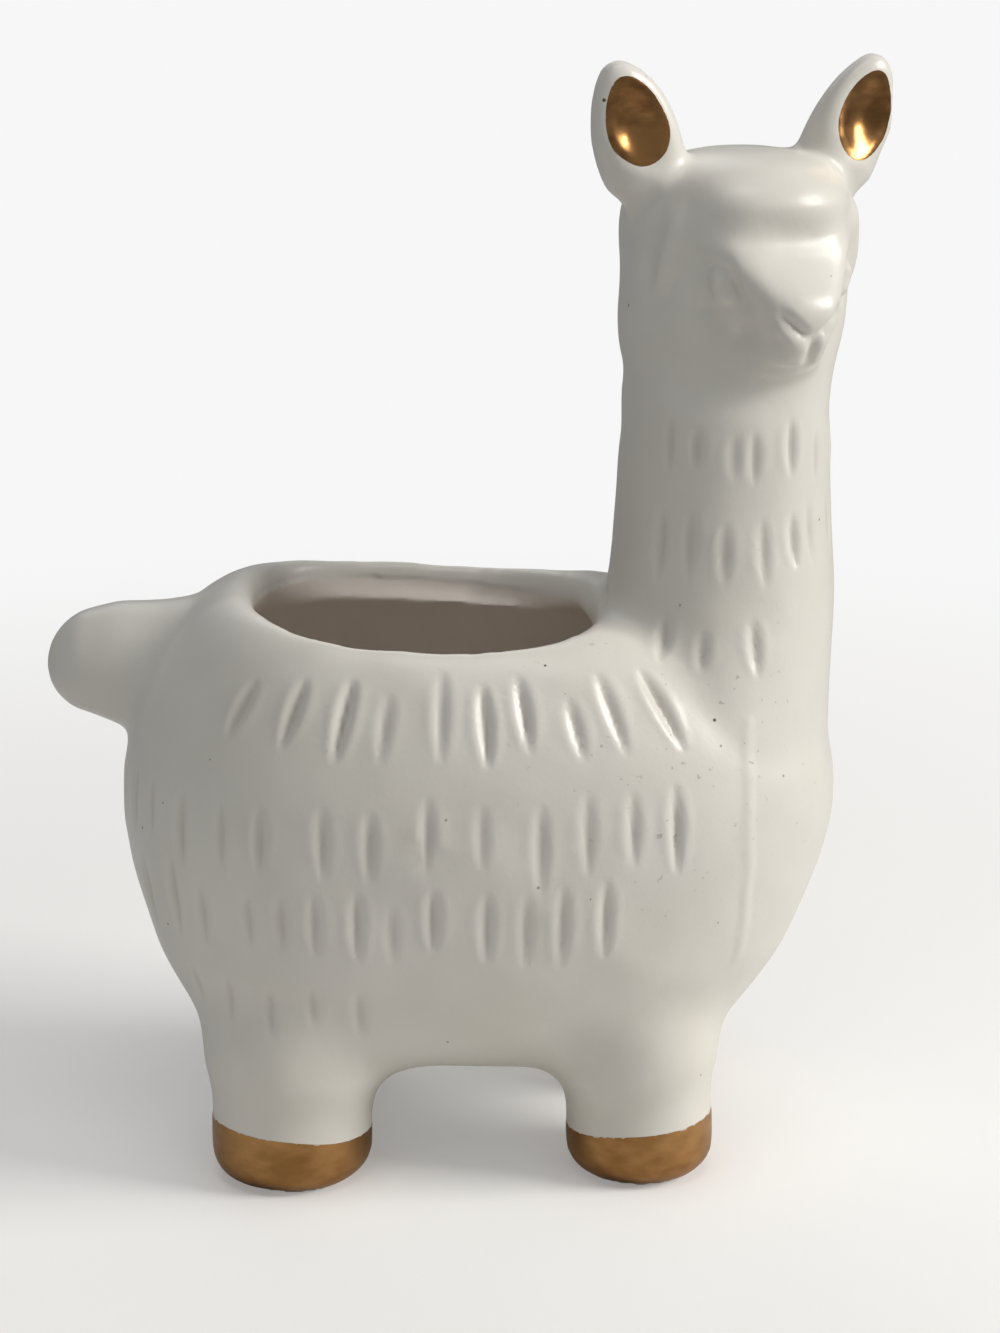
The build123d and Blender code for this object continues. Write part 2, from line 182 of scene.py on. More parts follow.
class Clay:
    """A closed surface held as arrays, in millimetres, that can be softened, pressed and cut."""

    relax_share: float = 0.5
    grow_back: float = 0.52
    fill_share: float = 0.8
    track_step: float = 0.5
    stroke_reach: float = 1.7

    def __init__(self, points: Array, faces: Array) -> None:
        """Keep the surface and work out which points are neighbours.

        Args:
            points: One row of X, Y and Z for each point.
            faces: One row of four point numbers for each face.
        """
        self.points = points
        self.faces = faces
        sides = np.vstack([faces[:, (corner, (corner + 1) % 4)] for corner in range(4)])
        self.edges = np.unique(np.sort(sides, axis=1), axis=0)
        self.degree = np.bincount(self.edges.ravel(), minlength=len(points)).astype(float)
        self.marks: dict[str, Array] = {}

    @classmethod
    def from_nodes(
        cls, nodes: list[Body], voxel: float, plugs: list[tuple[Point, float, float]]
    ) -> "Clay":
        """Draw one skin round several solids and the round plugs of clay between them.

        Args:
            nodes: Solids that touch each other.
            voxel: Spacing of the skin's points.
            plugs: Middle, radius and height of each plug.

        Returns:
            The skin.
        """
        blank = bmesh.new()
        for node in nodes:
            blank.from_mesh(node.data)
        for middle, radius, height in plugs:
            bmesh.ops.create_cone(
                blank,
                cap_ends=True,
                segments=48,
                radius1=radius * MM,
                radius2=radius * MM,
                depth=height * MM,
                matrix=Matrix.Translation(Vector(middle) * MM),
            )
        mesh = bpy.data.meshes.new("blank")
        blank.to_mesh(mesh)
        blank.free()
        return cls.from_mesh(modified(mesh, "REMESH", mode="VOXEL", voxel_size=voxel * MM))

    @classmethod
    def from_mesh(cls, mesh: Mesh) -> "Clay":
        """Read a mesh of four-sided faces.

        Args:
            mesh: Mesh in metres.

        Returns:
            The same surface in millimetres.
        """
        points = read_rows(mesh.vertices, "co", 3)
        corners = read_rows(mesh.loops, "vertex_index", 1, np.int32)
        return cls(points.astype(float) / MM, corners.reshape(-1, 4))

    def to_mesh(self, name: str) -> Mesh:
        """Return the surface as a mesh in metres, with its marks as attributes.

        Args:
            name: The mesh's name.

        Returns:
            The mesh.
        """
        mesh = bpy.data.meshes.new(name)
        mesh.from_pydata(self.points * MM, (), self.faces)
        for mark, values in self.marks.items():
            add_layer(mesh, mark, values)
        return mesh

    def normals(self) -> Array:
        """Return the outward direction at each point."""
        corner = self.points[self.faces]
        across = np.cross(corner[:, 2] - corner[:, 0], corner[:, 3] - corner[:, 1])
        total = np.zeros_like(self.points)
        for place in range(4):
            for axis in range(3):
                total[:, axis] += np.bincount(self.faces[:, place], across[:, axis], len(self.points))
        return total / (np.linalg.norm(total, axis=1, keepdims=True) + 1e-12)

    def spread(self, values: Array) -> Array:
        """Return the mean of each point's neighbours for one or more values.

        Args:
            values: One row for each point.

        Returns:
            The neighbours' means, in the same rows.
        """
        one, other = self.edges.T
        table = values.reshape(len(self.points), -1)
        total = np.empty_like(table)
        for column in range(table.shape[1]):
            total[:, column] = np.bincount(one, table[other, column], len(table))
            total[:, column] += np.bincount(other, table[one, column], len(table))
        return (total / self.degree[:, None]).reshape(values.shape)

    def drift(self) -> Array:
        """Return the way from each point to the middle of its neighbours."""
        return self.spread(self.points) - self.points

    def soften(self, steps: int, weight: Array | float = 1.0) -> None:
        """Smooth the surface without making it smaller.

        Args:
            steps: How many times.
            weight: Share of the smoothing at each point.
        """
        share = np.broadcast_to(weight, len(self.points))[:, None]
        for _ in range(steps):
            self.relax(1, weight)
            self.points = self.points - self.grow_back * share * self.drift()

    def relax(self, steps: int, weight: Array | float = 1.0) -> None:
        """Smooth the surface freely, edges and valleys alike.

        Args:
            steps: How many times.
            weight: Share of the smoothing at each point.
        """
        share = np.broadcast_to(weight, len(self.points))[:, None]
        for _ in range(steps):
            self.points = self.points + self.relax_share * share * self.drift()

    def swell(self, height: float, steps: int, weight: Array) -> None:
        """Let a thin rim grow outward and rounder, a little at a time.

        Args:
            height: How far it grows in all.
            steps: In how many steps.
            weight: How much each point takes part.
        """
        for _ in range(steps):
            self.points = self.points + self.normals() * (height / steps * weight)[:, None]
            self.relax(1, weight)

    def fill_valleys(self, steps: int, weight: Array | float = 1.0) -> None:
        """Let glaze and slip gather in the sharp valleys.

        Args:
            steps: How many times.
            weight: Share of the filling at each point.
        """
        for _ in range(steps):
            out = self.normals()
            rise = np.maximum(np.sum(self.drift() * out, axis=1), 0.0) * weight
            self.points = self.points + out * rise[:, None] * self.fill_share
        self.soften(2)

    def region(self, chosen: Array) -> tuple["Clay", Array]:
        """Return a part of the surface that can be worked alone.

        Args:
            chosen: Which points belong to it.

        Returns:
            The part, and the numbers of its points in the whole.
        """
        faces = self.faces[chosen[self.faces].all(axis=1)]
        used, local = np.unique(faces, return_inverse=True)
        return Clay(self.points[used], local.reshape(-1, 4)), used

    def rework(self, chosen: Array, weigh: Callable[[Array], Array], relax: int, fill: int = 0) -> None:
        """Soften one region.

        Args:
            chosen: The region's points.
            weigh: How strongly each place is worked.
            relax: Steps of free smoothing.
            fill: Steps of filling the valleys before it.
        """
        if not chosen.any():
            return
        part, used = self.region(chosen)
        weight = weigh(part.points)
        if fill:
            part.fill_valleys(fill, weight)
        part.relax(relax, weight)
        self.points[used] = part.points

    def near(self, path: Array, margin: float) -> Array:
        """Return the numbers of the points in the box round a path."""
        low, high = path.min(axis=0) - margin, path.max(axis=0) + margin
        return np.nonzero(np.all((self.points > low) & (self.points < high), axis=1))[0]

    def press(self, path: Array, stroke: Stroke) -> None:
        """Raise or sink the surface along a path.

        Args:
            path: The path's corners in the part's own frame.
            stroke: Its radius, its height and how it tapers at the ends.
        """
        steps = [path[:1]]
        for start, end in zip(path[:-1], path[1:], strict=True):
            count = max(int(np.linalg.norm(end - start) / self.track_step), 1)
            steps.append(start + (end - start) * (np.arange(1, count + 1) / count)[:, None])
        track = np.vstack(steps)
        chosen = self.near(track, stroke.radius * 2 + 3.0)
        if not len(chosen):
            return
        spots = self.points[chosen]
        gaps = np.linalg.norm(spots[:, None, :] - track[None, :, :], axis=2)
        # lay the path onto the surface, then take the jitter out of it
        track = spots[gaps.argmin(axis=0)]
        for _ in range(3 * (len(track) > 2)):
            track[1:-1] = (track[:-2] + 2.0 * track[1:-1] + track[2:]) / 4.0
        gaps = np.linalg.norm(spots[:, None, :] - track[None, :, :], axis=2)
        along = np.linspace(0.0, 1.0, len(track))
        ends = 1.0 if len(track) == 1 else 1.0 - stroke.taper + stroke.taper * np.sin(math.pi * along) ** 0.5
        shape = np.clip(1.0 - (gaps / (stroke.radius * self.stroke_reach)) ** 2, 0.0, 1.0) ** 2 * ends
        rise = np.zeros(len(self.points))
        rise[chosen] = shape.max(axis=1) * stroke.rise
        self.points = self.points + self.normals() * rise[:, None]

    def tree(self) -> BVHTree:
        """Return a search tree of the surface, in millimetres."""
        return BVHTree.FromPolygons([tuple(p) for p in self.points], self.faces.tolist())


def thin_out(mesh: Mesh, limit: int) -> Mesh:
    """Return a mesh with fewer triangles where its surface is smooth.

    Args:
        mesh: The mesh.
        limit: How many triangles it may have.

    Returns:
        The same mesh if it is small enough, else a lighter one.
    """
    triangles = sum(face.loop_total - 2 for face in mesh.polygons)
    if triangles <= limit:
        return mesh
    return modified(mesh, "DECIMATE", ratio=limit / triangles)


def evaluated_mesh(body: Body) -> Mesh:
    """Return a plain mesh of an object with its modifiers applied.

    Args:
        body: The object.

    Returns:
        A new mesh.
    """
    bpy.context.view_layer.update()
    graph = bpy.context.evaluated_depsgraph_get()
    seen = body.evaluated_get(graph)
    return bpy.data.meshes.new_from_object(seen, preserve_all_data_layers=True, depsgraph=graph)


def link(thing: Body) -> Body:
    """Put an object into the scene."""
    bpy.context.scene.collection.objects.link(thing)
    return thing


def modified(mesh: Mesh, kind: str, **settings: object) -> Mesh:
    """Return a mesh as one modifier leaves it.

    Args:
        mesh: The mesh.
        kind: Blender's name for the modifier.
        settings: The modifier's own settings.

    Returns:
        A new mesh.
    """
    body = link(bpy.data.objects.new("modified", mesh))
    modifier = body.modifiers.new("modified", kind)
    for key, value in settings.items():
        setattr(modifier, key, value)
    made = evaluated_mesh(body)
    bpy.data.objects.remove(body)
    return made


def read_rows(source: bpy.types.bpy_prop_collection, key: str, width: int, kind: type = np.float32) -> Array:
    """Read the numbers that each item of a mesh has.

    Args:
        source: The items.
        key: What is read of each.
        width: How many numbers that is.
        kind: The numbers' type.

    Returns:
        One row for each item.
    """
    numbers = np.zeros(len(source) * width, kind)
    source.foreach_get(key, numbers)
    return numbers.reshape(-1, width)


def corner_rows(mesh: Mesh, rows: Array) -> Array:
    """Hand the rows of a mesh's points on to the corners of its faces."""
    return rows[read_rows(mesh.loops, "vertex_index", 1, np.int32)[:, 0]]


def add_layer(mesh: Mesh, name: str, values: object) -> None:
    """Give each point of a mesh a number or a direction.

    Args:
        mesh: The mesh.
        name: The layer's name.
        values: One number or one direction for each point.
    """
    numbers = np.array(values, np.float32)
    kind, key = ("FLOAT", "value") if numbers.ndim == 1 else ("FLOAT_VECTOR", "vector")
    mesh.attributes.new(name, kind, "POINT").data.foreach_set(key, numbers.ravel())


def toned(colour: Point, shares: Point) -> Point:
    """Return a colour that keeps a share of its red, green and blue."""
    return tuple(value * share for value, share in zip(colour, shares, strict=True))


def opaque(colour: object) -> object:
    """Return a colour as a node wants it."""
    return (*colour, 1.0) if isinstance(colour, tuple) else colour


class Bench:
    """Lays out a node tree: shader or geometry."""

    def __init__(self, tree: bpy.types.NodeTree) -> None:
        """Keep the tree."""
        self.tree = tree

    def wire(self, node: bpy.types.Node, inputs: dict) -> bpy.types.Node:
        """Feed the inputs of a node.

        Args:
            node: The node.
            inputs: Input name or number, and the value or the socket that feeds it.

        Returns:
            The same node.
        """
        for key, value in inputs.items():
            if isinstance(value, Socket):
                self.tree.links.new(value, node.inputs[key])
            else:
                node.inputs[key].default_value = value
        return node

    def node(self, kind: str, inputs: dict | None = None, **settings: object) -> bpy.types.Node:
        """Add a node, set it up and wire its inputs.

        Args:
            kind: Blender's name for the node's type.
            inputs: Input name or number, and the value or the socket that feeds it.
            settings: The node's own settings.

        Returns:
            The node.
        """
        made = self.tree.nodes.new(kind)
        for key, value in settings.items():
            setattr(made, key, value)
        return self.wire(made, inputs or {})

    def math(self, operation: str, *values: object) -> Socket:
        """Add a sum."""
        return self.node("ShaderNodeMath", dict(enumerate(values)), operation=operation).outputs[0]

    def times(self, first: object, *others: object) -> Socket:
        """Multiply values, one after the other.

        Args:
            first: Number or socket.
            others: Numbers or sockets that it is multiplied by.

        Returns:
            The product's socket.
        """
        for other in others:
            first = self.math("MULTIPLY", first, other)
        return first

    def plus(self, one: object, other: object) -> Socket:
        """Add two values up."""
        return self.math("ADD", one, other)

    def minus(self, one: object, other: object) -> Socket:
        """Take a value away from another."""
        return self.math("SUBTRACT", one, other)

    def vector(self, operation: str, *values: object, scale: object = None) -> bpy.types.Node:
        """Add a sum of directions.

        Args:
            operation: Blender's name for the sum.
            values: Directions or sockets.
            scale: Number or socket that a direction is scaled by.

        Returns:
            The node, which has a direction and a number as outputs.
        """
        inputs = dict(enumerate(values))
        if scale is not None:
            inputs["Scale"] = scale
        return self.node("ShaderNodeVectorMath", inputs, operation=operation)

    def step(self, value: object, low: float, high: float) -> Socket:
        """Add a soft step from 0 to 1."""
        inputs = {"Value": value, "From Min": low, "From Max": high}
        return self.node("ShaderNodeMapRange", inputs, interpolation_type="SMOOTHSTEP").outputs[0]

    def noise(self, place: object, scale: object, detail: float = 3.0, rough: float = 0.5) -> Socket:
        """Add cloudy noise."""
        inputs = {"Vector": place, "Scale": scale, "Detail": detail, "Roughness": rough}
        return self.node("ShaderNodeTexNoise", inputs).outputs["Fac"]

    def mix(self, amount: object, below: object, above: object) -> Socket:
        """Lay a colour over another."""
        inputs = {"Factor": amount, "A": opaque(below), "B": opaque(above)}
        return self.node("ShaderNodeMix", inputs, data_type="RGBA").outputs["Result"]

    def mark(self, mark: Mark) -> Socket:
        """Read a value that the surface carries."""
        return self.node("ShaderNodeAttribute", attribute_name=mark.value).outputs["Fac"]

    def bump(self, height: object, strength: float, distance: float) -> Socket:
        """Make a surface look uneven."""
        inputs = {"Strength": strength, "Distance": distance, "Height": height}
        return self.node("ShaderNodeBump", inputs).outputs["Normal"]


@dataclass(frozen=True)
class Finish:
    """What every finish shares: its name and the colour seen in a plain view."""

    name: str
    colour: Point

    def start(self) -> tuple[Material, Bench, bpy.types.Node, Socket]:
        """Return a new material with its bench, its surface shader and the coordinates of the object."""
        material = bpy.data.materials.new(self.name)
        material.use_nodes = True
        material.diffuse_color = (*self.colour, 1.0)
        bench = Bench(material.node_tree)
        surface = material.node_tree.nodes["Principled BSDF"]
        coordinates = bench.node("ShaderNodeTexCoord").outputs["Object"]
        return material, bench, surface, coordinates


@dataclass(frozen=True)
class Glaze(Finish):
    """Satin white glaze outside, bare beige clay inside, with specks, scuffs, fine unevenness and painted shade in
    its valleys.
    """

    clouded: Point = (0.93, 0.925, 0.90)
    # colour of the painted shade in valleys and in the fleece marks' troughs
    shade: Point = (0.60, 0.565, 0.505)
    clay: Point = (0.92, 0.85, 0.775)
    clay_clouded: Point = (0.82, 0.80, 0.78)
    speck: Point = (0.12, 0.095, 0.075)
    scuff: Point = (0.33, 0.28, 0.22)
    scuffed: Point = (0.033, -0.022, 0.070)
    roughness: float = 0.36

    def build(self) -> Material:
        """Return the material."""
        material, bench, surface, place = self.start()
        broad, cloud = bench.noise(place, 26.0, 3.0, 0.55), bench.noise(place, 95.0, 5.0, 0.55)
        fine = bench.noise(place, 1500.0, 2.0, 0.55)
        grain = bench.minus(cloud, 0.5)
        clouds = bench.step(bench.plus(bench.times(broad, 0.7), bench.times(cloud, 0.3)), 0.36, 0.70)
        tone = bench.mix(clouds, self.colour, toned(self.colour, self.clouded))
        # painted shade: the glaze darkens towards the shade colour in valleys and in the fleece marks' troughs
        tone = bench.mix(bench.times(bench.step(bench.mark(Mark.HOLLOW), 0.05, 1.0), 0.55), tone, self.shade)
        tone = bench.mix(self.specks(bench, place, 240.0, 0.95, 0.055), tone, self.speck)
        tone = bench.mix(bench.times(self.specks(bench, place, 520.0, 0.94, 0.10), 0.6), tone, self.speck)
        tone = bench.mix(bench.times(self.scuffs(bench, place), 0.5), tone, self.scuff)
        bare = bench.step(bench.plus(bench.mark(Mark.INSIDE), bench.times(grain, 0.5)), -0.25, 0.35)
        clay = bench.mix(broad, self.clay, toned(self.clay, self.clay_clouded))
        height = bench.plus(bench.times(cloud, 0.6), bench.times(fine, 0.12))
        gloss = bench.plus(self.roughness, bench.times(grain, 0.22))
        inputs = {
            "Base Color": bench.mix(bare, tone, clay),
            "Roughness": bench.plus(gloss, bench.times(bare, 0.45)),
            "Normal": bench.bump(height, 0.22, 0.0006),
            "IOR": 1.48,
            "Coat Weight": 0.12,
            "Coat Roughness": 0.18,
        }
        bench.wire(surface, inputs)
        return material

    def specks(
        self, bench: Bench, place: Socket, scale: float, rare: float, size: float
    ) -> Socket:
        """Scatter dark specks of iron through the glaze.

        Args:
            bench: The material's bench.
            place: Coordinates.
            scale: Cells to the metre.
            rare: Share of the cells that stay empty.
            size: A speck's radius as a share of its cell.

        Returns:
            Where the specks are, from 0 to 1.
        """
        cells = bench.node("ShaderNodeTexVoronoi", {"Vector": place, "Scale": scale})
        chance = bench.node("ShaderNodeSeparateColor", {"Color": cells.outputs["Color"]})
        there = bench.math("GREATER_THAN", chance.outputs["Red"], rare)
        radius = bench.times(bench.plus(chance.outputs["Green"], 0.35), size)
        return bench.times(there, bench.math("LESS_THAN", cells.outputs["Distance"], radius))

    def scuffs(self, bench: Bench, place: Socket) -> Socket:
        """Draw the fine grey scuffs on the shoulder below the neck.

        Args:
            bench: The material's bench.
            place: Coordinates.

        Returns:
            Where the scuffs are, from 0 to 1.
        """
        pits = bench.step(bench.noise(place, 900.0), 0.66, 0.74)
        away = bench.vector("DISTANCE", place, self.scuffed).outputs["Value"]
        region = bench.minus(1.0, bench.step(away, 0.010, 0.040))
        broken = bench.step(bench.plus(bench.noise(place, 170.0), bench.times(region, 0.10)), 0.50, 0.62)
        return bench.times(pits, broken, region)


@dataclass(frozen=True)
class GoldPaint(Finish):
    """Bronze gold paint, brushed on by hand and worn thin along its edges."""

    # dark tone of the paint's random mottle; the ears' darker one is partly painted reflection
    deep: Point = (0.30, 0.150, 0.050)
    under: Point = (0.62, 0.57, 0.50)
    roughness: float = 0.34
    wear: float = 0.62

    def build(self) -> Material:
        """Return the material."""
        material, bench, surface, place = self.start()
        stretched = bench.vector("MULTIPLY", place, (1.0, 1.0, 2.2)).outputs["Vector"]
        mottled = bench.plus(
            bench.times(bench.noise(stretched, 300.0), 0.3), bench.times(bench.noise(place, 90.0), 0.7)
        )
        # random mottle of the paint, on the ears partly painted reflection of a dark room
        tone = bench.mix(bench.step(mottled, 0.38, 0.66), self.colour, self.deep)
        nick = bench.times(bench.noise(place, 900.0, 2.0), 1.3)
        worn = bench.math("LESS_THAN", bench.plus(bench.mark(Mark.RIM), nick), self.wear)
        inputs = {
            "Base Color": bench.mix(worn, tone, self.under),
            "Metallic": bench.times(bench.minus(1.0, worn), 0.92),
            "Roughness": bench.plus(self.roughness - 0.12, bench.times(mottled, 0.26)),
            "Normal": bench.bump(mottled, 0.25, 0.0004),
        }
        bench.wire(surface, inputs)
        return material


@dataclass(frozen=True)
class FleeceRow:
    """A row of pressed marks round the body or the neck."""

    level: float
    angles: tuple[float, ...]
    axis: float = 2.0
    half_length: float = 4.6
    depth: float = 1.0
    lean: float = 0.0


@dataclass
class Fleece:
    """The pressed fleece marks, which follow the surface in staggered rows."""

    half_width: float = 1.65
    depth: float = 0.70
    lump_size: float = 17.0
    lump_height: float = 1.3
    seed: int = 7
    rows: tuple[FleeceRow, ...] = (
        FleeceRow(112.4, (-123, -108, -89, -79, -58, -38, -16), 40.0, 4.2, 0.62),
        FleeceRow(98.8, (-126, -110, -93, -74, -57, -45, -24, -6), 40.0, 5.0, 0.75),
        FleeceRow(85.0, (-117, -101, -80), 40.0, 3.8, 0.8),
        FleeceRow(76.2, (-140, -130, -120, -111, -98, -87, -77, -65, -56, -45), 2.0, 6.2, 1.15, -0.6),
        FleeceRow(
            59.5, (-168, -160, -154, -147, -139, -132, -121, -112, -100, -88, -75, -65, -56, -48), 2.0, 6.2, 0.8
        ),
        FleeceRow(
            46.0, (-170, -158, -150, -144, -135, -129, -123, -115, -108, -99, -87, -78, -70, -61), 2.0, 6.2, 0.75
        ),
        FleeceRow(31.5, (-150, -142, -134, -126, -117), 2.0, 4.2, 0.5),
    )

    def plan(self, clay: Clay) -> Body:
        """Mark out where each press goes.

        Args:
            clay: The surface that is pressed.

        Returns:
            An object with one point for each mark and its directions as attributes.
        """
        tree = clay.tree()
        dice = np.random.default_rng(self.seed)
        marks = []
        for row in self.rows:
            for side in (1.0, -1.0):
                for angle in row.angles:
                    throw = dice.uniform(-1.0, 1.0, 4)
                    turned = math.radians(angle + throw[0] * (side < 0)) * side
                    level = row.level + 1.5 * throw[1]
                    ray = Vector((math.cos(turned), math.sin(turned), 0.0))
                    hit, out, _, _ = tree.ray_cast(Vector((row.axis, 0.0, level)) + ray * 120.0, -ray)
                    if hit is None:
                        continue
                    lean = math.radians(row.lean * hit.x) * side
                    up = Vector((0.0, 0.0, 1.0)) - out * out.z
                    across = up.cross(out).normalized()
                    up = (up.normalized() * math.cos(lean) + across * math.sin(lean)).normalized()
                    reach = row.half_length * (1.0 + 0.22 * throw[2]) * MM
                    weight = row.depth * (1.0 + 0.35 * throw[3])
                    marks.append((hit * MM, up, up.cross(out).normalized(), out, reach, weight))
        spots, *layers = zip(*marks, strict=True)
        mesh = bpy.data.meshes.new("fleece_plan")
        mesh.from_pydata(spots, (), ())
        for name, values in zip(("up", "side", "out", "reach", "weight"), layers, strict=True):
            add_layer(mesh, name, values)
        LOG.info("fleece: %d marks", len(spots))
        return bpy.data.objects.new("fleece_plan", mesh)

    def tree(self) -> bpy.types.NodeTree:
        """Return the geometry nodes that press the marks into a surface."""
        tree = bpy.data.node_groups.new("fleece_marks", "GeometryNodeTree")
        for name, kind in (
            ("Geometry", "Geometry"),
            ("Plan", "Object"),
            ("Half Width", "Float"),
            ("Depth", "Float"),
            ("Unevenness", "Float"),
            ("Lump Size", "Float"),
            ("Lump Height", "Float"),
            ("Seed", "Int"),
            ("Material", "Material"),
        ):
            tree.interface.new_socket(name, in_out="INPUT", socket_type=f"NodeSocket{kind}")
        tree.interface.new_socket("Geometry", in_out="OUTPUT", socket_type="NodeSocketGeometry")
        bench = Bench(tree)
        given = bench.node("NodeGroupInput").outputs
        plan = bench.node("GeometryNodeObjectInfo", {"Object": given["Plan"]}).outputs["Geometry"]
        place = bench.node("GeometryNodeInputPosition").outputs[0]
        nearest = bench.node("GeometryNodeSampleNearest", {"Geometry": plan, "Sample Position": place}).outputs[0]

        def sample(value: Socket, kind: str = "FLOAT_VECTOR") -> Socket:
            inputs = {"Geometry": plan, "Value": value, "Index": nearest}
            return bench.node("GeometryNodeSampleIndex", inputs, data_type=kind).outputs[0]

        def read(name: str, kind: str = "FLOAT_VECTOR") -> Socket:
            named = bench.node("GeometryNodeInputNamedAttribute", {"Name": name}, data_type=kind)
            return sample(named.outputs[0], kind)

        away = bench.vector("SUBTRACT", place, sample(place)).outputs["Vector"]
        along = bench.vector("DOT_PRODUCT", away, read("up")).outputs["Value"]
        across = bench.vector("DOT_PRODUCT", away, read("side")).outputs["Value"]
        high = bench.math("DIVIDE", along, read("reach", "FLOAT"))
        ends = bench.math("MAXIMUM", bench.minus(1.0, bench.times(high, high)), 0.0)
        # a leaf that is pointed at its foot and blunt at its top
        pointed = bench.math("MAXIMUM", bench.plus(0.5, bench.times(high, 0.5)), 0.001)
        blunt = bench.math("MAXIMUM", bench.minus(1.0, high), 0.001)
        leaf = bench.times(bench.math("POWER", pointed, 0.55), bench.math("POWER", blunt, 0.35))
        half_width = bench.times(given["Half Width"], bench.plus(0.12, leaf))
        wide = bench.math("ABSOLUTE", bench.math("DIVIDE", across, half_width))
        # the pressed trough and the low ridge of clay beside it
        trough = bench.math("POWER", bench.math("MAXIMUM", bench.minus(1.0, wide), 0.0), 1.35)
        beyond = bench.minus(wide, 1.45)
        ridge = bench.times(bench.math("EXPONENT", bench.times(beyond, beyond, -3.5)), 0.17)
        out = bench.node("GeometryNodeInputNormal").outputs[0]
        facing = bench.step(bench.vector("DOT_PRODUCT", out, read("out")).outputs["Value"], 0.35, 0.75)
        shape = bench.times(bench.minus(ridge, trough), bench.math("POWER", ends, 0.9), facing)
        inputs = {"ID": nearest, "Seed": given["Seed"]}
        dice = bench.node("FunctionNodeRandomValue", inputs, data_type="FLOAT").outputs["Value"]
        uneven = bench.plus(1.0, bench.times(given["Unevenness"], bench.minus(dice, 0.5)))
        rise = bench.times(shape, given["Depth"], read("weight", "FLOAT"), uneven)
        lumps = bench.noise(place, bench.math("DIVIDE", 1.0, given["Lump Size"]), 1.5, 0.4)
        rise = bench.plus(rise, bench.times(bench.minus(lumps, 0.5), given["Lump Height"]))
        offset = bench.vector("SCALE", out, scale=rise).outputs["Vector"]
        moved = bench.node("GeometryNodeSetPosition", {"Geometry": given["Geometry"], "Offset": offset}).outputs[0]
        # how deep each point lies in a mark's trough, which later sets its painted shade
        inputs = {"Geometry": moved, "Name": "pressed", "Value": bench.times(trough, ends, facing)}
        kept = bench.node("GeometryNodeStoreNamedAttribute", inputs, data_type="FLOAT", domain="POINT").outputs[0]
        real = bench.node("GeometryNodeRealizeInstances", {"Geometry": kept}).outputs[0]
        done = bench.node("GeometryNodeSetMaterial", {"Geometry": real, "Material": given["Material"]}).outputs[0]
        bench.node("NodeGroupOutput", {0: done})
        return tree

    def apply(self, clay: Clay, glaze: Material) -> Clay:
        """Press the marks into the surface.

        Args:
            clay: The surface.
            glaze: Its finish.

        Returns:
            The pressed surface, which also carries how deep each point lies in a mark, as painted shade in the
            marks' troughs.
        """
        plan = link(self.plan(clay))
        body = link(bpy.data.objects.new("pressing", clay.to_mesh("pressing")))
        tree = self.tree()
        press = body.modifiers.new("fleece", "NODES")
        press.node_group = tree
        values = {
            "Plan": plan,
            "Half Width": self.half_width * MM,
            "Depth": self.depth * MM,
            "Unevenness": 0.35,
            "Lump Size": self.lump_size * MM,
            "Lump Height": self.lump_height * MM,
            "Seed": self.seed,
            "Material": glaze,
        }
        for item in tree.interface.items_tree:
            if item.in_out == "INPUT" and item.name in values:
                press[item.identifier] = values[item.name]
        mesh = evaluated_mesh(body)
        pressed = Clay.from_mesh(mesh)
        pressed.marks = dict(clay.marks)
        depth = read_rows(mesh.attributes["pressed"].data, "value", 1)[:, 0]
        inside = clay.marks[Mark.INSIDE.value] > -0.5
        pressed.points[inside] = clay.points[inside]
        # each mark's trough is given painted shade as well
        pressed.marks[Mark.HOLLOW.value] = np.maximum(pressed.marks[Mark.HOLLOW.value], depth * ~inside)
        for thing in (plan, body):
            bpy.data.objects.remove(thing)
        return pressed


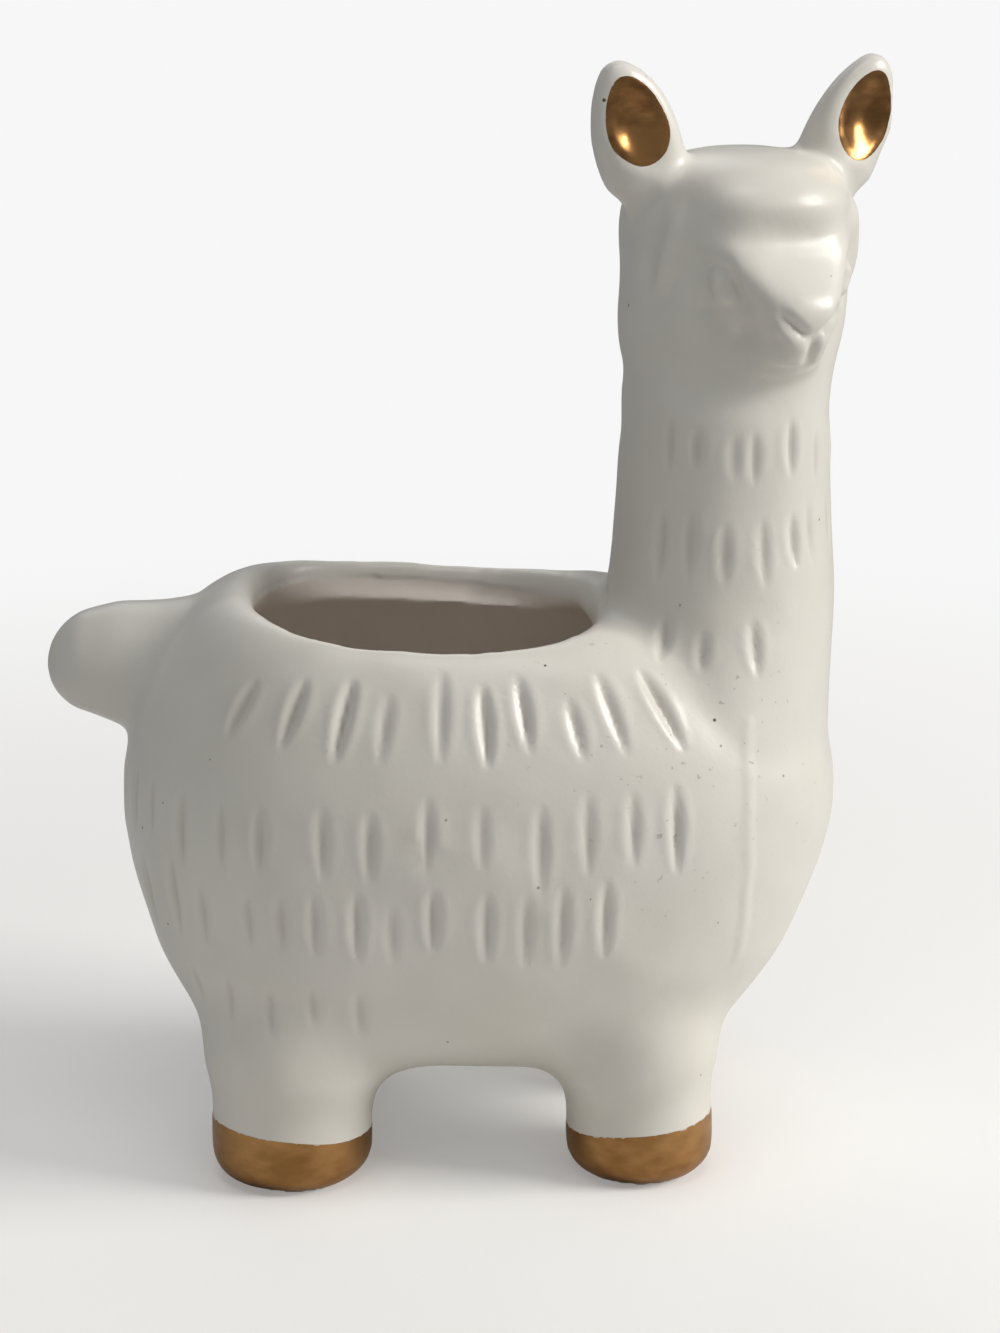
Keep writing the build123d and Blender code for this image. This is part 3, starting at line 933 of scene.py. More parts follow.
@dataclass
class Face:
    """The head's modelling: brow, locks, eyes, nose and mouth, in strokes given as forward, left and up."""

    place: HeadPlace = field(default_factory=HeadPlace)
    strokes: tuple[Stroke, ...] = (
        # brow roll and the soft line under it
        Stroke(
            (
                (14.0, -11.5, 149.4), (17.4, -6.0, 149.4), (18.0, 0.0, 149.4),
                (17.4, 6.0, 149.4), (14.0, 11.5, 149.4),
            ),
            3.2, 0.5, mirrored=False,
        ),
        Stroke(
            (
                (14.1, -11.4, 146.0), (16.8, -6.3, 146.0), (17.4, 0.0, 145.8),
                (16.6, 6.3, 145.7), (14.1, 11.4, 145.6),
            ),
            2.1, -0.42, 0.6, mirrored=False,
        ),
        # locks at the sides of the face
        Stroke(
            ((8.9, -15.1, 147.6), (8.6, -15.4, 144.2), (7.7, -16.0, 141.0), (6.4, -16.7, 137.4)), 1.9, 1.35, 0.8
        ),
        Stroke(((6.4, -16.6, 147.0), (5.4, -16.9, 142.0), (4.0, -17.2, 138.0)), 1.7, -0.5, 0.8),
        Stroke(((0.3, -17.5, 141.5), (1.5, -17.5, 138.5), (3.0, -17.4, 135.5)), 2.2, 0.6, 0.8),
        Stroke(((4.0, -16.6, 149.6), (-1.0, -17.0, 149.4), (-6.0, -16.0, 149.4)), 2.2, -0.8, 0.6),
        # closed eyes
        Stroke(((14.5, -11.0, 138.2), (14.8, -10.7, 136.5)), 1.5, 1.35, 0.0),
        Stroke(
            ((15.7, -10.1, 140.6), (16.2, -9.1, 138.6), (16.7, -8.2, 136.6), (17.6, -7.3, 134.8)), 1.2, -0.5, 0.7
        ),
        Stroke(((10.7, -12.4, 134.6), (11.4, -11.4, 133.9), (12.6, -10.6, 134.0)), 0.9, -0.25, 0.6),
        # nose, nostrils and the split lip
        Stroke(((22.9, -1.0, 135.0), (22.9, 2.8, 135.2)), 2.8, 0.4, mirrored=False),
        Stroke(((22.4, -4.5, 134.0), (22.8, -2.9, 132.4), (22.9, -0.9, 131.0)), 1.0, -1.0, 0.6, axis=0.8),
        Stroke(((22.5, -4.9, 132.6), (22.6, -2.8, 130.7), (22.2, -0.7, 129.3)), 1.1, 0.45, 0.6, axis=0.8),
        Stroke(((22.8, 0.8, 130.6), (22.0, 1.0, 128.4), (20.6, 1.2, 126.4)), 1.0, -0.7, 0.5, mirrored=False),
        Stroke(((21.3, -2.2, 128.2),), 2.0, 0.35, axis=0.8),
        Stroke(
            (
                (17.8, -5.4, 126.6), (19.6, -2.6, 125.4), (20.2, 0.6, 125.0),
                (19.4, 3.6, 125.4), (17.6, 6.0, 126.6),
            ),
            0.9, -0.35, 0.7, mirrored=False,
        ),
    )
    bridge: tuple[tuple[float, float, float], ...] = (
        # level, reach and half width of the nose bridge
        (130.0, 22.2, 4.4),
        (134.0, 23.2, 5.0),
        (136.0, 22.7, 6.0),
        (138.0, 21.2, 7.4),
        (140.0, 19.6, 8.9),
        (142.0, 18.1, 10.3),
        (144.0, 16.8, 11.5),
        (146.5, 15.8, 12.4),
    )
    bridge_rounding: float = 3.2
    bridge_round: float = 0.012
    bridge_edge: float = 1.5
    cheek_slope: float = 2.2
    push_limits: tuple[float, float] = (-1.6, 2.7)

    def bridge_at(self, level: Array) -> tuple[Array, Array]:
        """Return how far the nose bridge reaches and its half width."""
        levels, reaches, widths = smooth_table(np.array(self.bridge), self.bridge_rounding)
        return np.interp(level, levels, reaches), np.interp(level, levels, widths)

    def beside_bridge(self, points: Array) -> Array:
        """Return how strongly the clay beside the bridge is blended into the cheeks."""
        front, side, level = self.place.seen(points)
        weight = smoothstep(side - self.bridge_at(level)[1], 2.6, 5.0) * fade(side, 17.5, 20.0)
        return weight * plateau(level, 120.0, 124.0, 143.5, 148.0) * smoothstep(front, -1.0, 6.0)

    def under_brow(self, points: Array) -> Array:
        """Return how strongly the clay under the brow is blended into it."""
        front, _, level = self.place.seen(points)
        return plateau(level, 131.0, 136.0, 147.0, 151.0) * smoothstep(front, 6.0, 10.0)

    def push_bridge(self, clay: Clay) -> None:
        """Push the broad nose bridge out from under the brow and blend it in.

        Args:
            clay: The surface.
        """
        front, side, level = self.place.seen(clay.points)
        outer = clay.marks[Mark.INSIDE.value] < 0.0
        reach, width = self.bridge_at(level)
        fall = self.bridge_edge * np.logaddexp(0.0, self.cheek_slope * (side - width) / self.bridge_edge)
        push = np.clip(reach - self.bridge_round * side**2 - fall - front, *self.push_limits)
        weight = fade(side - width, 2.5, 6.5)
        weight *= plateau(level, 130.0, 133.5, 142.0, 147.4)
        weight *= smoothstep(front, 6.0, 9.0) * outer
        clay.points = clay.points + self.place.axes()[0] * (push * weight)[:, None]
        clay.rework(outer & (front > -2.0) & (side > 6.0) & (level > 119.5), self.beside_bridge, relax=260)
        level = clay.points[:, 2]
        clay.rework(outer & (front > 5.0) & (level > 129.0) & (level < 152.0), self.under_brow, relax=46)
        clay.soften(4)

    def model(self, clay: Clay) -> None:
        """Work the bridge and every stroke into the clay.

        Args:
            clay: The surface.
        """
        self.push_bridge(clay)
        for stroke in self.strokes:
            path = np.array(stroke.path, float)
            other = path * (1.0, -1.0, 1.0) + (0.0, 2.0 * stroke.axis, 0.0)
            sides = (path, other) if stroke.mirrored else (path,)
            for side in sides:
                clay.press(self.place.to_world(side), stroke)
        LOG.info("face: %d strokes", len(self.strokes))


@dataclass(frozen=True)
class Ear:
    """An ear's place and its scooped inside."""

    side: float
    place: HeadPlace = field(default_factory=HeadPlace)
    root: tuple[float, float] = (10.0, 139.0)
    tip: tuple[float, float, float] = (2.0, 22.2, 169.0)
    joint_level: float = 153.3
    turn: float = 6.0
    middle_share: float = 0.755
    half_length: float = 8.7
    radius: float = 6.2
    floor: float = 0.6
    margin: float = -0.03
    leaf: float = 0.24

    @property
    def name(self) -> str:
        """Return the ear's name."""
        return "right_ear" if self.side < 0 else "left_ear"

    def frame(self) -> tuple[Array, Array, float]:
        """Return the ear's root, its own axes as rows and its length."""
        root = self.place.to_world(((0.0, self.side * self.root[0], self.root[1]),))[0]
        tip = self.place.to_world(((self.tip[0], self.side * self.tip[1], self.tip[2]),))[0]
        up = (tip - root) / np.linalg.norm(tip - root)
        turn = math.radians(self.place.turn - 90.0) - math.radians(self.side * self.turn)
        out = np.array((math.cos(turn), -math.sin(turn), 0.0))
        out = out - up * out.dot(up)
        out /= np.linalg.norm(out)
        return root, np.array((out, np.cross(up, out), up)), float(np.linalg.norm(tip - root))

    def joint(self) -> tuple[Array, Array]:
        """Return a place on the joint with the head and the direction out of it."""
        root, axes, length = self.frame()
        share = (self.joint_level - self.root[1]) / (self.tip[2] - self.root[1])
        return root + axes[2] * length * share, axes[2]

    def gold(self, points: Array) -> Array:
        """Return how far inside the gold's edge each point lies, in millimetres.

        Args:
            points: Rows of X, Y and Z.

        Returns:
            Distances, positive inside the gold.
        """
        root, axes, length = self.frame()
        local = (points - root) @ axes.T
        local = local - (0.0, -(self.floor + self.radius), length * self.middle_share)
        local[:, 0] /= 1.0 - self.leaf * np.clip(local[:, 2] / self.half_length, -0.4, 1.0)
        across, deep, along = (local**2).T
        size = np.sqrt((across + deep) / self.radius**2 + along / self.half_length**2)
        angle = np.arctan2(local[:, 2], local[:, 0])
        return (1.0 + self.margin + 0.02 * waves(angle, 5 + int(self.side)) - size) * self.radius


@dataclass(frozen=True)
class Foot:
    """A leg's place, its size and the line that its hoof is painted up to."""

    end: str
    hand: str
    x: float
    y: float
    radius: float
    line: float = 8.2
    tilt: float = 6.5
    bare: float = 0.5
    wall: float = 4.2
    plug_level: float = 21.6
    plug_height: float = 5.0

    @property
    def name(self) -> str:
        """Return the leg's name."""
        return f"{self.end}_{self.hand}"

    def plug(self) -> tuple[Point, float, float]:
        """Return the clay that shuts the leg's hollow under the pot's floor: middle, radius and height."""
        return (self.x, self.y, self.plug_level), self.radius - self.wall, self.plug_height

    def gold(self, points: Array) -> Array:
        """Return how far inside the gold's edge each point lies, in millimetres.

        Args:
            points: Rows of X, Y and Z.

        Returns:
            Distances, positive inside the gold.
        """
        away = points - (self.x, self.y, 0.0)
        angle = np.arctan2(away[:, 1], away[:, 0])
        seed = int(abs(self.x) * 10) + (3 if self.y > 0 else 0)
        lean = math.tan(math.radians(self.tilt))
        line = self.line + lean * (np.sign(self.x) * away[:, 0] + np.sign(self.y) * away[:, 1])
        line = line + 0.35 * waves(angle, seed, 7)
        chips = 1.1 * np.maximum(waves(angle * 4.0, seed + 80, 9) - 0.75, 0.0)
        bare = self.bare + 0.2 * waves(angle, seed + 50, 9) + chips
        ring = np.hypot(away[:, 0], away[:, 1])
        inner = ring - (self.radius - 5.5)
        return np.minimum.reduce((line - points[:, 2], points[:, 2] - bare, inner, self.radius + 3.0 - ring))


@dataclass(frozen=True)
class Cut:
    """A flat joint, and the side of it that is kept."""

    place: Point
    out: Point

    def distance(self, points: Array) -> Array:
        """Return how far each point lies on the kept side."""
        return -(points - np.array(self.place)) @ np.array(self.out)


@dataclass(frozen=True)
class Piece:
    """A piece of the casting: its name, the solids that it stands for, its joints and the skin it is cut from."""

    name: str
    nodes: tuple[str, ...]
    cuts: tuple[Cut, ...]
    fine: bool = False
    limit: int = 180000


@dataclass
class Casting:
    """The whole ceramic: its skins, its modelling and its pieces."""

    voxel: float = 0.62
    fine_voxel: float = 0.42
    box: tuple[Point, Point] = ((-64.5, -37.6, 0.0), (64.74, 37.6, 169.4))
    neck_joint: float = 96.0
    head_joint: float = 119.0
    leg_joint: float = 13.6
    tail_joint: tuple[float, float, float] = (-51.2, 74.6, 25.0)
    tail_valley: tuple[float, float, float] = (11.0, 4.2, -0.5)
    tail_middle: Point = (-53.0, 0.0, 73.0)
    tail_reach: float = 15.0
    seam: tuple[tuple[float, float], ...] = ((24.7, 74.0), (28.0, 60.0), (27.5, 49.5), (25.8, 37.5))
    seam_front: float = 42.5
    rim_swell: float = 0.42
    lip_level: float = 82.6
    back_slope: float = 0.07
    mouth: tuple[float, float, float] = (-5.8, 28.0, 27.4)
    face: Face = field(default_factory=Face)
    fleece: Fleece = field(default_factory=Fleece)
    ears: tuple[Ear, Ear] = (Ear(-1.0), Ear(1.0))
    feet: tuple[Foot, ...] = (
        Foot("rear", "right", -26.6, -19.2, 12.4),
        Foot("rear", "left", -26.6, 19.2, 12.4),
        Foot("front", "right", 27.6, -17.8, 11.2),
        Foot("front", "left", 27.6, 17.8, 11.2),
    )

    def soften(self, clay: Clay, voxel: float) -> None:
        """Round a skin's edges and fill its valleys, as slip and glaze do.

        Args:
            clay: The skin.
            voxel: Spacing of its points.
        """
        more = (self.voxel / voxel) ** 2
        clay.soften(round(8 * more))
        x, y, z = clay.points.T
        middle = self.tail_middle
        tail = np.exp(-((x - middle[0]) ** 2 + (y - middle[1]) ** 2 + (z - middle[2]) ** 2) / self.tail_reach**2)
        clay.fill_valleys(round(30 * more), 1.0 - 0.85 * tail)
        outer = clay.marks[Mark.INSIDE.value] < 0.0
        lip = ((x - self.mouth[0]) / 38.0) ** 2 + (y / 38.0) ** 2 < 1.0
        # each region, how strongly its places are worked, steps of smoothing and steps of filling
        for chosen, weigh, relax, fill in (
            (outer & (z > 8.6) & (z < 36.0), self.haunches, 50, 260),
            (outer & (z > 109.0) & (z < 127.0), self.throat, round(60 * more), 0),
            (lip & (z > 79.0) & (z < 100.0), self.lip, 80, 0),
            (outer & (z > 119.5) & (z < 152.0), self.cheeks, round(75 * more), 0),
            (z > 150.0, self.ear_rims, round(14 * more), 0),
        ):
            clay.rework(chosen, weigh, relax, fill)
        part, used = clay.region(z > 153.0)
        part.swell(self.rim_swell, 10, self.ear_edges(part.points))
        clay.points[used] = part.points
        clay.soften(round(6 * more))

    def haunches(self, points: Array) -> Array:
        """Return how strongly the joints of the legs and the belly are softened."""
        return plateau(points[:, 2], 9.0, 12.0, 27.0, 35.0)

    def throat(self, points: Array) -> Array:
        """Return how strongly the joint of the head and the neck is softened."""
        return plateau(points[:, 2], 110.0, 115.0, 121.0, 126.0)

    def lip(self, points: Array) -> Array:
        """Return how strongly the mouth's lip is rounded."""
        x, y, z = points.T
        ring = np.hypot((x - self.mouth[0]) / self.mouth[1], y / self.mouth[2])
        return smoothstep(z, 80.0, 84.0) * fade(ring, 1.12, 1.3) * fade(x, 16.0, 21.0)

    def cheeks(self, points: Array) -> Array:
        """Return how strongly the sides of the face are blended into the head."""
        front, side, level = self.face.place.seen(points)
        width, height = plateau(side, 8.0, 10.5, 15.5, 18.5), plateau(level, 120.0, 124.0, 145.5, 149.5)
        return width * height * smoothstep(front, 0.0, 5.0)

    def ear_rims(self, points: Array) -> Array:
        """Return how strongly the rims of the ears are rounded."""
        return smoothstep(points[:, 2], 151.0, 156.0)

    def ear_edges(self, points: Array) -> Array:
        """Return how strongly each place by the edges of the ears swells."""
        inside = np.maximum(*(ear.gold(points) for ear in self.ears))
        return plateau(inside, -3.6, -1.2, 0.2, 1.4) * smoothstep(points[:, 2], 154.0, 158.0)

    def flat_feet(self, clay: Clay) -> None:
        """Set the feet flat on the ground."""
        low = clay.points[:, 2] < 0.35
        clay.points[low, 2] = np.maximum(clay.points[low, 2] * 0.2, 0.0)

    def mark_inside(self, clay: Clay, fine: bool) -> None:
        """Note which points lie in the bare inside, and how near the lip's edge the others are.

        Args:
            clay: The surface.
            fine: Whether it is the head's skin, whose hollow has no lip.
        """
        x, y, z = clay.points.T
        if fine:
            shut = z < self.neck_joint + 1.5
            band = np.zeros(len(x), bool)
            start = np.argmin((x - 41.0) ** 2 + y**2 + (z - 112.0) ** 2)
        else:
            level = self.lip_level - self.back_slope * x
            round_mouth = ((x - self.mouth[0]) / self.mouth[1]) ** 2 + (y / self.mouth[2]) ** 2 < 1.25
            band = round_mouth & (z > level - 0.4) & (z < 99.0)
            shut = band
            start = np.argmin(x**2 + y**2 + (z - 22.0) ** 2)
        one, other = clay.edges.T
        open_edge = ~shut[one] & ~shut[other]
        one, other = one[open_edge], other[open_edge]
        found = np.zeros(len(x), bool)
        found[start] = True
        while True:
            grown = found.copy()
            grown[other[found[one]]] = True
            grown[one[found[other]]] = True
            if grown.sum() == found.sum():
                break
            found = grown
        inside = np.full(len(x), -1.0)
        if not fine:
            outward = clay.normals()[:, :2] * (clay.points[:, :2] - (self.mouth[0], 0.0))
            band &= outward.sum(axis=1) < 0.0
            inside[band] = np.clip((level - z)[band] / 0.8, -1.0, 1.0)
        inside[found] = 1.0
        clay.marks[Mark.INSIDE.value] = inside

    def mark_valley_shade(self, clay: Clay) -> None:
        """Note how deep each point lies in a valley, which sets how much painted shade darkens the glaze there.

        Args:
            clay: The surface.
        """
        drift = np.sum(clay.drift() * clay.normals(), axis=1)
        for _ in range(6):
            drift = 0.5 * drift + 0.5 * clay.spread(drift)
        # share of painted shade in each valley, none on the ears
        clay.marks[Mark.HOLLOW.value] = smoothstep(drift, 0.006, 0.05) * fade(clay.points[:, 2], 150.0, 156.0)

    def model_body(self, clay: Clay) -> None:
        """Press the valley round the tail's root and raise the mould's seam.

        Args:
            clay: The surface.
        """
        x, z, lean = self.tail_joint
        radius, width, depth = self.tail_valley
        lean = math.radians(lean)
        up = np.array((math.sin(lean), 0.0, math.cos(lean)))
        turn = np.linspace(-math.pi, math.pi, 25)[:, None]
        ring = np.array((x, 0.0, z)) + radius * (np.cos(turn) * up + np.sin(turn) * np.array((0.0, 1.0, 0.0)))
        clay.press(ring, Stroke((), width, depth, 0.0))
        for side in (-1.0, 1.0):
            path = np.array([(self.seam_front, side * y, z) for y, z in self.seam])
            clay.press(path, Stroke((), 0.9, 0.22))

    def shape(self, glaze: Material, fine: bool) -> Clay:
        """Return the finished surface of the whole casting, or of the head in finer grain.

        Args:
            glaze: Its finish.
            fine: Whether to make the head alone.

        Returns:
            The surface.
        """
        parts = ("neck", "head", "ear") if fine else ("",)
        nodes = [node for name, node in sorted(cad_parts.items()) if any(part in name for part in parts)]
        voxel = self.fine_voxel if fine else self.voxel
        clay = Clay.from_nodes(nodes, voxel, [] if fine else [foot.plug() for foot in self.feet])
        LOG.info("skin: %d faces", len(clay.faces))
        self.mark_inside(clay, fine)
        self.soften(clay, voxel)
        if fine:
            self.face.model(clay)
            clay.soften(3)
        else:
            self.model_body(clay)
        self.mark_valley_shade(clay)
        clay = self.fleece.apply(clay, glaze)
        clay.points = np.clip(clay.points, *self.box)
        self.flat_feet(clay)
        return clay

    def pieces(self) -> list[Piece]:
        """Return the casting's pieces."""
        x, z, lean = self.tail_joint
        lean = math.radians(lean)
        tail_out = (-math.cos(lean), 0.0, math.sin(lean))
        back = tuple(-value for value in tail_out)
        up, down = (0.0, 0.0, 1.0), (0.0, 0.0, -1.0)
        neck, head, leg = (0.0, 0.0, self.neck_joint), (0.0, 0.0, self.head_joint), (0.0, 0.0, self.leg_joint)
        made = [
            Piece("pot_body", ("body_pot",), (Cut(neck, up), Cut((x, 0.0, z), tail_out), Cut(leg, down))),
            Piece("tail_nub", ("tail",), (Cut((x, 0.0, z), back),)),
            Piece("neck_tube", ("neck",), (Cut(neck, down), Cut(head, up))),
        ]
        ear_cuts, left = [], self.face.place.axes()[1]
        for ear in self.ears:
            place, out = ear.joint()
            ear_cuts.append(Cut(tuple(place), tuple(out)))
            own_side = Cut((self.face.place.centre, 0.0, 0.0), tuple(-ear.side * left))
            above = Cut(tuple(place), tuple(-out))
            made.append(Piece(f"{ear.name}_shell", (ear.name,), (above, own_side), True))
        made.append(Piece("head_and_face", ("head",), (Cut(head, down), *ear_cuts), True))
        for foot in self.feet:
            sides = (
                Cut((0.0, 0.0, 0.0), (-math.copysign(1.0, foot.x), 0.0, 0.0)),
                Cut((0.0, 0.0, 0.0), (0.0, -math.copysign(1.0, foot.y), 0.0)),
            )
            made.append(Piece(f"{foot.name}_foot", (f"{foot.name}_leg",), (Cut(leg, up), *sides)))
        return made

    def close_joint(self, form: bmesh.types.BMesh, cut: Cut) -> None:
        """Close the opening that a joint leaves with a flat face.

        Args:
            form: The piece.
            cut: The joint.
        """
        place, out = Vector(cut.place) * MM, Vector(cut.out)
        rim = [
            edge
            for edge in form.edges
            if edge.is_boundary and all(abs((end.co - place).dot(out)) < 2e-6 for end in edge.verts)
        ]
        if not rim:
            return
        cap = bmesh.ops.triangle_fill(form, edges=rim, use_beauty=True, normal=out)
        for face in cap["geom"]:
            if isinstance(face, bmesh.types.BMFace):
                face.smooth = False
                if face.normal.dot(out) < 0:
                    face.normal_flip()

    def set_normals(self, mesh: Mesh) -> None:
        """Shade a piece by the whole casting's directions, and its joints flat.

        Args:
            mesh: The piece, which carries the directions in a layer that is used up.
        """
        point_out = read_rows(mesh.attributes["out"].data, "vector", 3)
        point_out /= np.linalg.norm(point_out, axis=1, keepdims=True) + 1e-9
        loop_out = corner_rows(mesh, point_out)
        for face in mesh.polygons:
            if not face.use_smooth:
                loop_out[face.loop_start : face.loop_start + face.loop_total] = face.normal
        mesh.attributes.remove(mesh.attributes["out"])
        for face in mesh.polygons:
            face.use_smooth = True
        mesh.normals_split_custom_set(loop_out)

    def cut_piece(self, clay: Clay, out: Array, piece: Piece, glaze: Material) -> Body:
        """Cut one piece out of the casting and close its joints.

        Args:
            clay: The whole surface.
            out: The outward direction at each of its points.
            piece: What is cut.
            glaze: Its finish.

        Returns:
            The piece.
        """
        kept = np.ones(len(clay.points), bool)
        for cut in piece.cuts:
            kept &= cut.distance(clay.points) > -1.5
        faces = clay.faces[kept[clay.faces].all(axis=1)]
        used, local = np.unique(faces, return_inverse=True)
        mesh = bpy.data.meshes.new(piece.name)
        mesh.from_pydata(clay.points[used] * MM, (), local.reshape(-1, 4))
        for mark, values in clay.marks.items():
            add_layer(mesh, mark, values[used])
        add_layer(mesh, "out", out[used])
        form = bmesh.new()
        form.from_mesh(mesh)
        for cut in piece.cuts:
            bmesh.ops.bisect_plane(
                form,
                geom=form.verts[:] + form.edges[:] + form.faces[:],
                plane_co=Vector(cut.place) * MM,
                plane_no=Vector(cut.out),
                dist=1e-7,
                clear_outer=True,
            )
        for face in form.faces:
            face.smooth = True
        for cut in piece.cuts:
            self.close_joint(form, cut)
        form.to_mesh(mesh)
        form.free()
        mesh = thin_out(mesh, piece.limit)
        self.set_normals(mesh)
        mesh.materials.append(glaze)
        return bpy.data.objects.new(piece.name, mesh)

    def build(self, glaze: Material, hoof_gold: Material, ear_gold: Material) -> None:
        """Make every ceramic piece and paint its gold.

        Args:
            glaze: The ceramic's finish.
            hoof_gold: The hooves' paint.
            ear_gold: The shinier paint inside the ears.
        """
        skins = {fine: self.shape(glaze, fine) for fine in (False, True)}
        outs = {fine: skin.normals() for fine, skin in skins.items()}
        for piece in self.pieces():
            body = self.cut_piece(skins[piece.fine], outs[piece.fine], piece, glaze)
            place_piece(body, piece.nodes)
        for ear in self.ears:
            GoldCoat(f"{ear.name}_gold", f"{ear.name}_gilding", ear.gold).build(skins[True], ear_gold)
        for foot in self.feet:
            coat = GoldCoat(f"{foot.name}_hoof_gold", f"{foot.name}_hoof_gilding", foot.gold)
            coat.build(skins[False], hoof_gold)


@dataclass
class GoldCoat:
    """A coat of gold over part of the casting, with a hand-painted edge."""

    name: str
    node: str
    inside_edge: Callable[[Array], Array]
    thickness: float = 0.09

    def build(self, clay: Clay, gold: Material) -> None:
        """Lay the coat on the surface.

        Args:
            clay: The casting's surface.
            gold: The coat's finish.
        """
        edge = self.inside_edge(clay.points)
        faces = clay.faces[(edge[clay.faces] > 0).any(axis=1)]
        triangles = np.vstack((faces[:, (0, 1, 2)], faces[:, (0, 2, 3)]))
        points, normals, values = list(clay.points), list(clay.normals()), list(edge)
        split: dict[tuple[int, int], int] = {}

        def crossing(one: int, other: int) -> int:
            key = (min(one, other), max(one, other))
            if key not in split:
                share = values[one] / (values[one] - values[other])
                split[key] = len(points)
                points.append(points[one] * (1 - share) + points[other] * share)
                normal = normals[one] * (1 - share) + normals[other] * share
                normals.append(normal / np.linalg.norm(normal))
                values.append(0.0)
            return split[key]

        patch = []
        for corners in triangles.tolist():
            ins = [corner for corner in corners if edge[corner] > 0]
            if len(ins) == 3:
                patch.append(tuple(corners))
            elif ins:
                ring = []
                for one, other in zip(corners, corners[1:] + corners[:1], strict=True):
                    if edge[one] > 0:
                        ring.append(one)
                    if (edge[one] > 0) != (edge[other] > 0):
                        ring.append(crossing(one, other))
                patch.append(tuple(ring))
        used = sorted({corner for ring in patch for corner in ring})
        number = {corner: place for place, corner in enumerate(used)}
        base, lift = np.array([points[c] for c in used]), np.array([normals[c] for c in used])
        rim = np.array([values[c] for c in used])
        top = base + lift * self.thickness * np.clip(rim / 0.25, 0.25, 1.0)[:, None]
        count = len(used)
        rings = [tuple(number[c] for c in ring) for ring in patch]
        sides: dict[tuple[int, int], int] = {}
        for ring in rings:
            for one, other in zip(ring, ring[1:] + ring[:1], strict=True):
                sides[(one, other)] = sides.get((one, other), 0) + 1
        walls = [(b, a, a + count, b + count) for a, b in sides if (b, a) not in sides]
        under = [tuple(c + count for c in reversed(ring)) for ring in rings]
        mesh = bpy.data.meshes.new(self.name)
        mesh.from_pydata(np.vstack((top, base - lift * 0.05)) * MM, (), rings + under + walls)
        add_layer(mesh, Mark.RIM.value, np.tile(rim, 2))
        mesh.shade_smooth()
        mesh.normals_split_custom_set(corner_rows(mesh, np.vstack((lift, -lift))))
        mesh.materials.append(gold)
        place_piece(bpy.data.objects.new(self.name, mesh), (self.node,))


def place_piece(piece: Body, nodes: tuple[str, ...]) -> None:
    """Link a piece, fix it to the frame and hide the solids that it stands for.

    Args:
        piece: The piece.
        nodes: The solids that it stands for.
    """
    link(piece)
    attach(piece, "root")
    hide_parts(*nodes)
    triangles = sum(face.loop_total - 2 for face in piece.data.polygons)
    LOG.info("%s: %d triangles", piece.name, triangles)


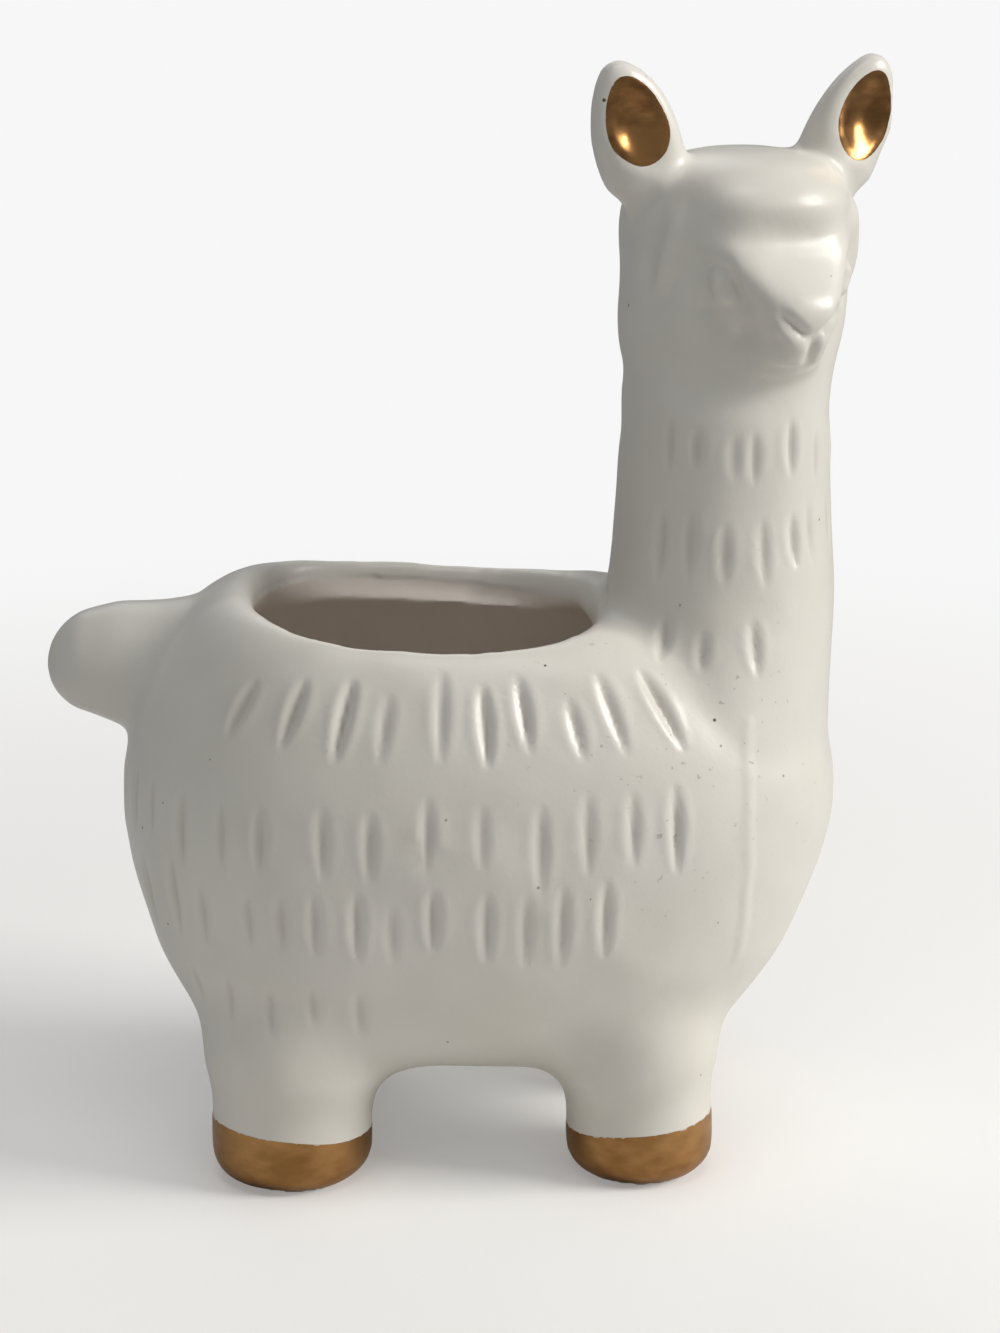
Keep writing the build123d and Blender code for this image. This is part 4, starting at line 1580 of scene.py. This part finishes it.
@dataclass
class Studio:
    """Pale floor, soft lamps and the camera."""

    floor_colour: Point = (0.80, 0.79, 0.775)
    floor_reach: float = 6.0
    floor_lift: float = 0.22
    floor_fade: tuple[float, float] = (0.10, 0.42)
    glow_light: float = 0.25
    glow_seen: float = 0.68
    world_colour: Point = (0.97, 0.98, 1.0)
    world_light: float = 0.23
    world_seen: float = 0.93
    white: tuple[float, float, float, float] = (1.0, 1.0, 1.0, 1.0)
    eye: Point = (5.85, -428.0, 196.9)
    pitch: float = 15.8
    focal: float = 2850.0
    long_side: float = 1333.0

    def floor(self) -> None:
        """Lay the floor, which fades to white far from the planter."""
        mesh = bpy.data.meshes.new("floor")
        reach = self.floor_reach
        corners = [(-reach, -reach, 0), (reach, -reach, 0), (reach, reach, 0), (-reach, reach, 0)]
        mesh.from_pydata(corners, (), [(0, 1, 2, 3)])
        floor = link(bpy.data.objects.new("floor", mesh))
        material = bpy.data.materials.new("floor")
        material.use_nodes = True
        bench, nodes = Bench(material.node_tree), material.node_tree.nodes
        place = bench.node("ShaderNodeTexCoord").outputs["Object"]
        far = bench.step(bench.vector("LENGTH", place).outputs["Value"], *self.floor_fade)
        paint = {"Base Color": (*self.floor_colour, 1.0), "Roughness": 0.7}
        surface = bench.wire(nodes["Principled BSDF"], paint)
        seen = bench.node("ShaderNodeLightPath").outputs["Is Camera Ray"]
        lift = {"Color": self.white, "Strength": bench.times(seen, self.floor_lift)}
        strength = bench.math("MULTIPLY_ADD", seen, self.glow_seen, self.glow_light)
        glow = {"Color": self.white, "Strength": strength}
        lift, glow = (bench.node("ShaderNodeEmission", inputs).outputs[0] for inputs in (lift, glow))
        near = bench.node("ShaderNodeAddShader", {0: surface.outputs[0], 1: lift}).outputs[0]
        mixed = bench.node("ShaderNodeMixShader", {0: far, 1: near, 2: glow})
        bench.wire(nodes["Material Output"], {"Surface": mixed.outputs[0]})
        mesh.materials.append(material)

    def world(self) -> None:
        """Set a white surround that the camera sees and that lights the planter softly."""
        world = bpy.data.worlds.new("surround")
        world.use_nodes = True
        bench = Bench(world.node_tree)
        soft = {"Color": (*self.world_colour, 1.0), "Strength": self.world_light}
        light = bench.node("ShaderNodeBackground", soft)
        seen = bench.node("ShaderNodeBackground", {"Color": self.white, "Strength": self.world_seen})
        path = bench.node("ShaderNodeLightPath").outputs["Is Camera Ray"]
        mixed = bench.node("ShaderNodeMixShader", {0: path, 1: light.outputs[0], 2: seen.outputs[0]})
        bench.wire(world.node_tree.nodes["World Output"], {"Surface": mixed.outputs[0]})
        bpy.context.scene.world = world

    def lamp(self, name: str, place: Point, size: float, power: float, colour: Point) -> None:
        """Hang a soft lamp that points at the planter.

        Args:
            name: The lamp's name.
            place: Where it hangs, in metres.
            size: Its side in metres.
            power: Its power in watts.
            colour: Its colour.
        """
        data = bpy.data.lights.new(name, "AREA")
        data.size, data.energy, data.color = size, power, colour
        lamp = link(bpy.data.objects.new(name, data))
        lamp.location = place
        lamp.rotation_mode = "QUATERNION"
        lamp.rotation_quaternion = (Vector((0.0, 0.0, 0.07)) - Vector(place)).to_track_quat("-Z", "Y")

    def camera(self) -> None:
        """Set the camera at the photograph's angle."""
        data = bpy.data.cameras.new("camera")
        data.sensor_width = 36.0
        data.lens = self.focal / self.long_side * data.sensor_width
        data.clip_start, data.clip_end = 0.02, 30.0
        camera = link(bpy.data.objects.new("camera", data))
        camera.location = Vector(self.eye) * MM
        camera.rotation_euler = (math.radians(90.0 - self.pitch), 0.0, 0.0)
        bpy.context.scene.camera = camera

    def build(self) -> None:
        """Set up floor, surround, lamps and camera."""
        self.floor()
        self.world()
        self.lamp("key", (1.08, -0.20, 0.68), 0.55, 12.5, (1.0, 0.98, 0.94))
        self.lamp("fill", (-0.95, -0.85, 0.50), 0.9, 0.6, (0.95, 0.97, 1.0))
        self.lamp("back", (-0.25, 0.95, 0.95), 0.8, 1.8, (1.0, 1.0, 1.0))
        self.lamp("top", (0.05, -0.30, 1.25), 0.5, 2.0, (1.0, 0.98, 0.95))
        self.camera()
        bpy.context.scene.view_settings.view_transform = "Standard"


def main() -> None:
    """Build and dress the planter, then set the stage."""
    logging.basicConfig(level=logging.INFO, format="%(name)s: %(message)s")
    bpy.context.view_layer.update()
    glaze = Glaze("satin_glaze", (0.80, 0.775, 0.715)).build()
    hoof_gold = GoldPaint("bronze_gold", (0.46, 0.25, 0.095)).build()
    # the ears' very dark deep tone is the paint's own random mottle and also painted reflection of a dark room in
    # the shiny gold
    ear_gold = GoldPaint("bright_gold", (0.50, 0.26, 0.095), (0.20, 0.095, 0.035), roughness=0.24, wear=0.46)
    Casting().build(glaze, hoof_gold, ear_gold.build())
    Studio().build()


if __name__ == "__main__":
    main()
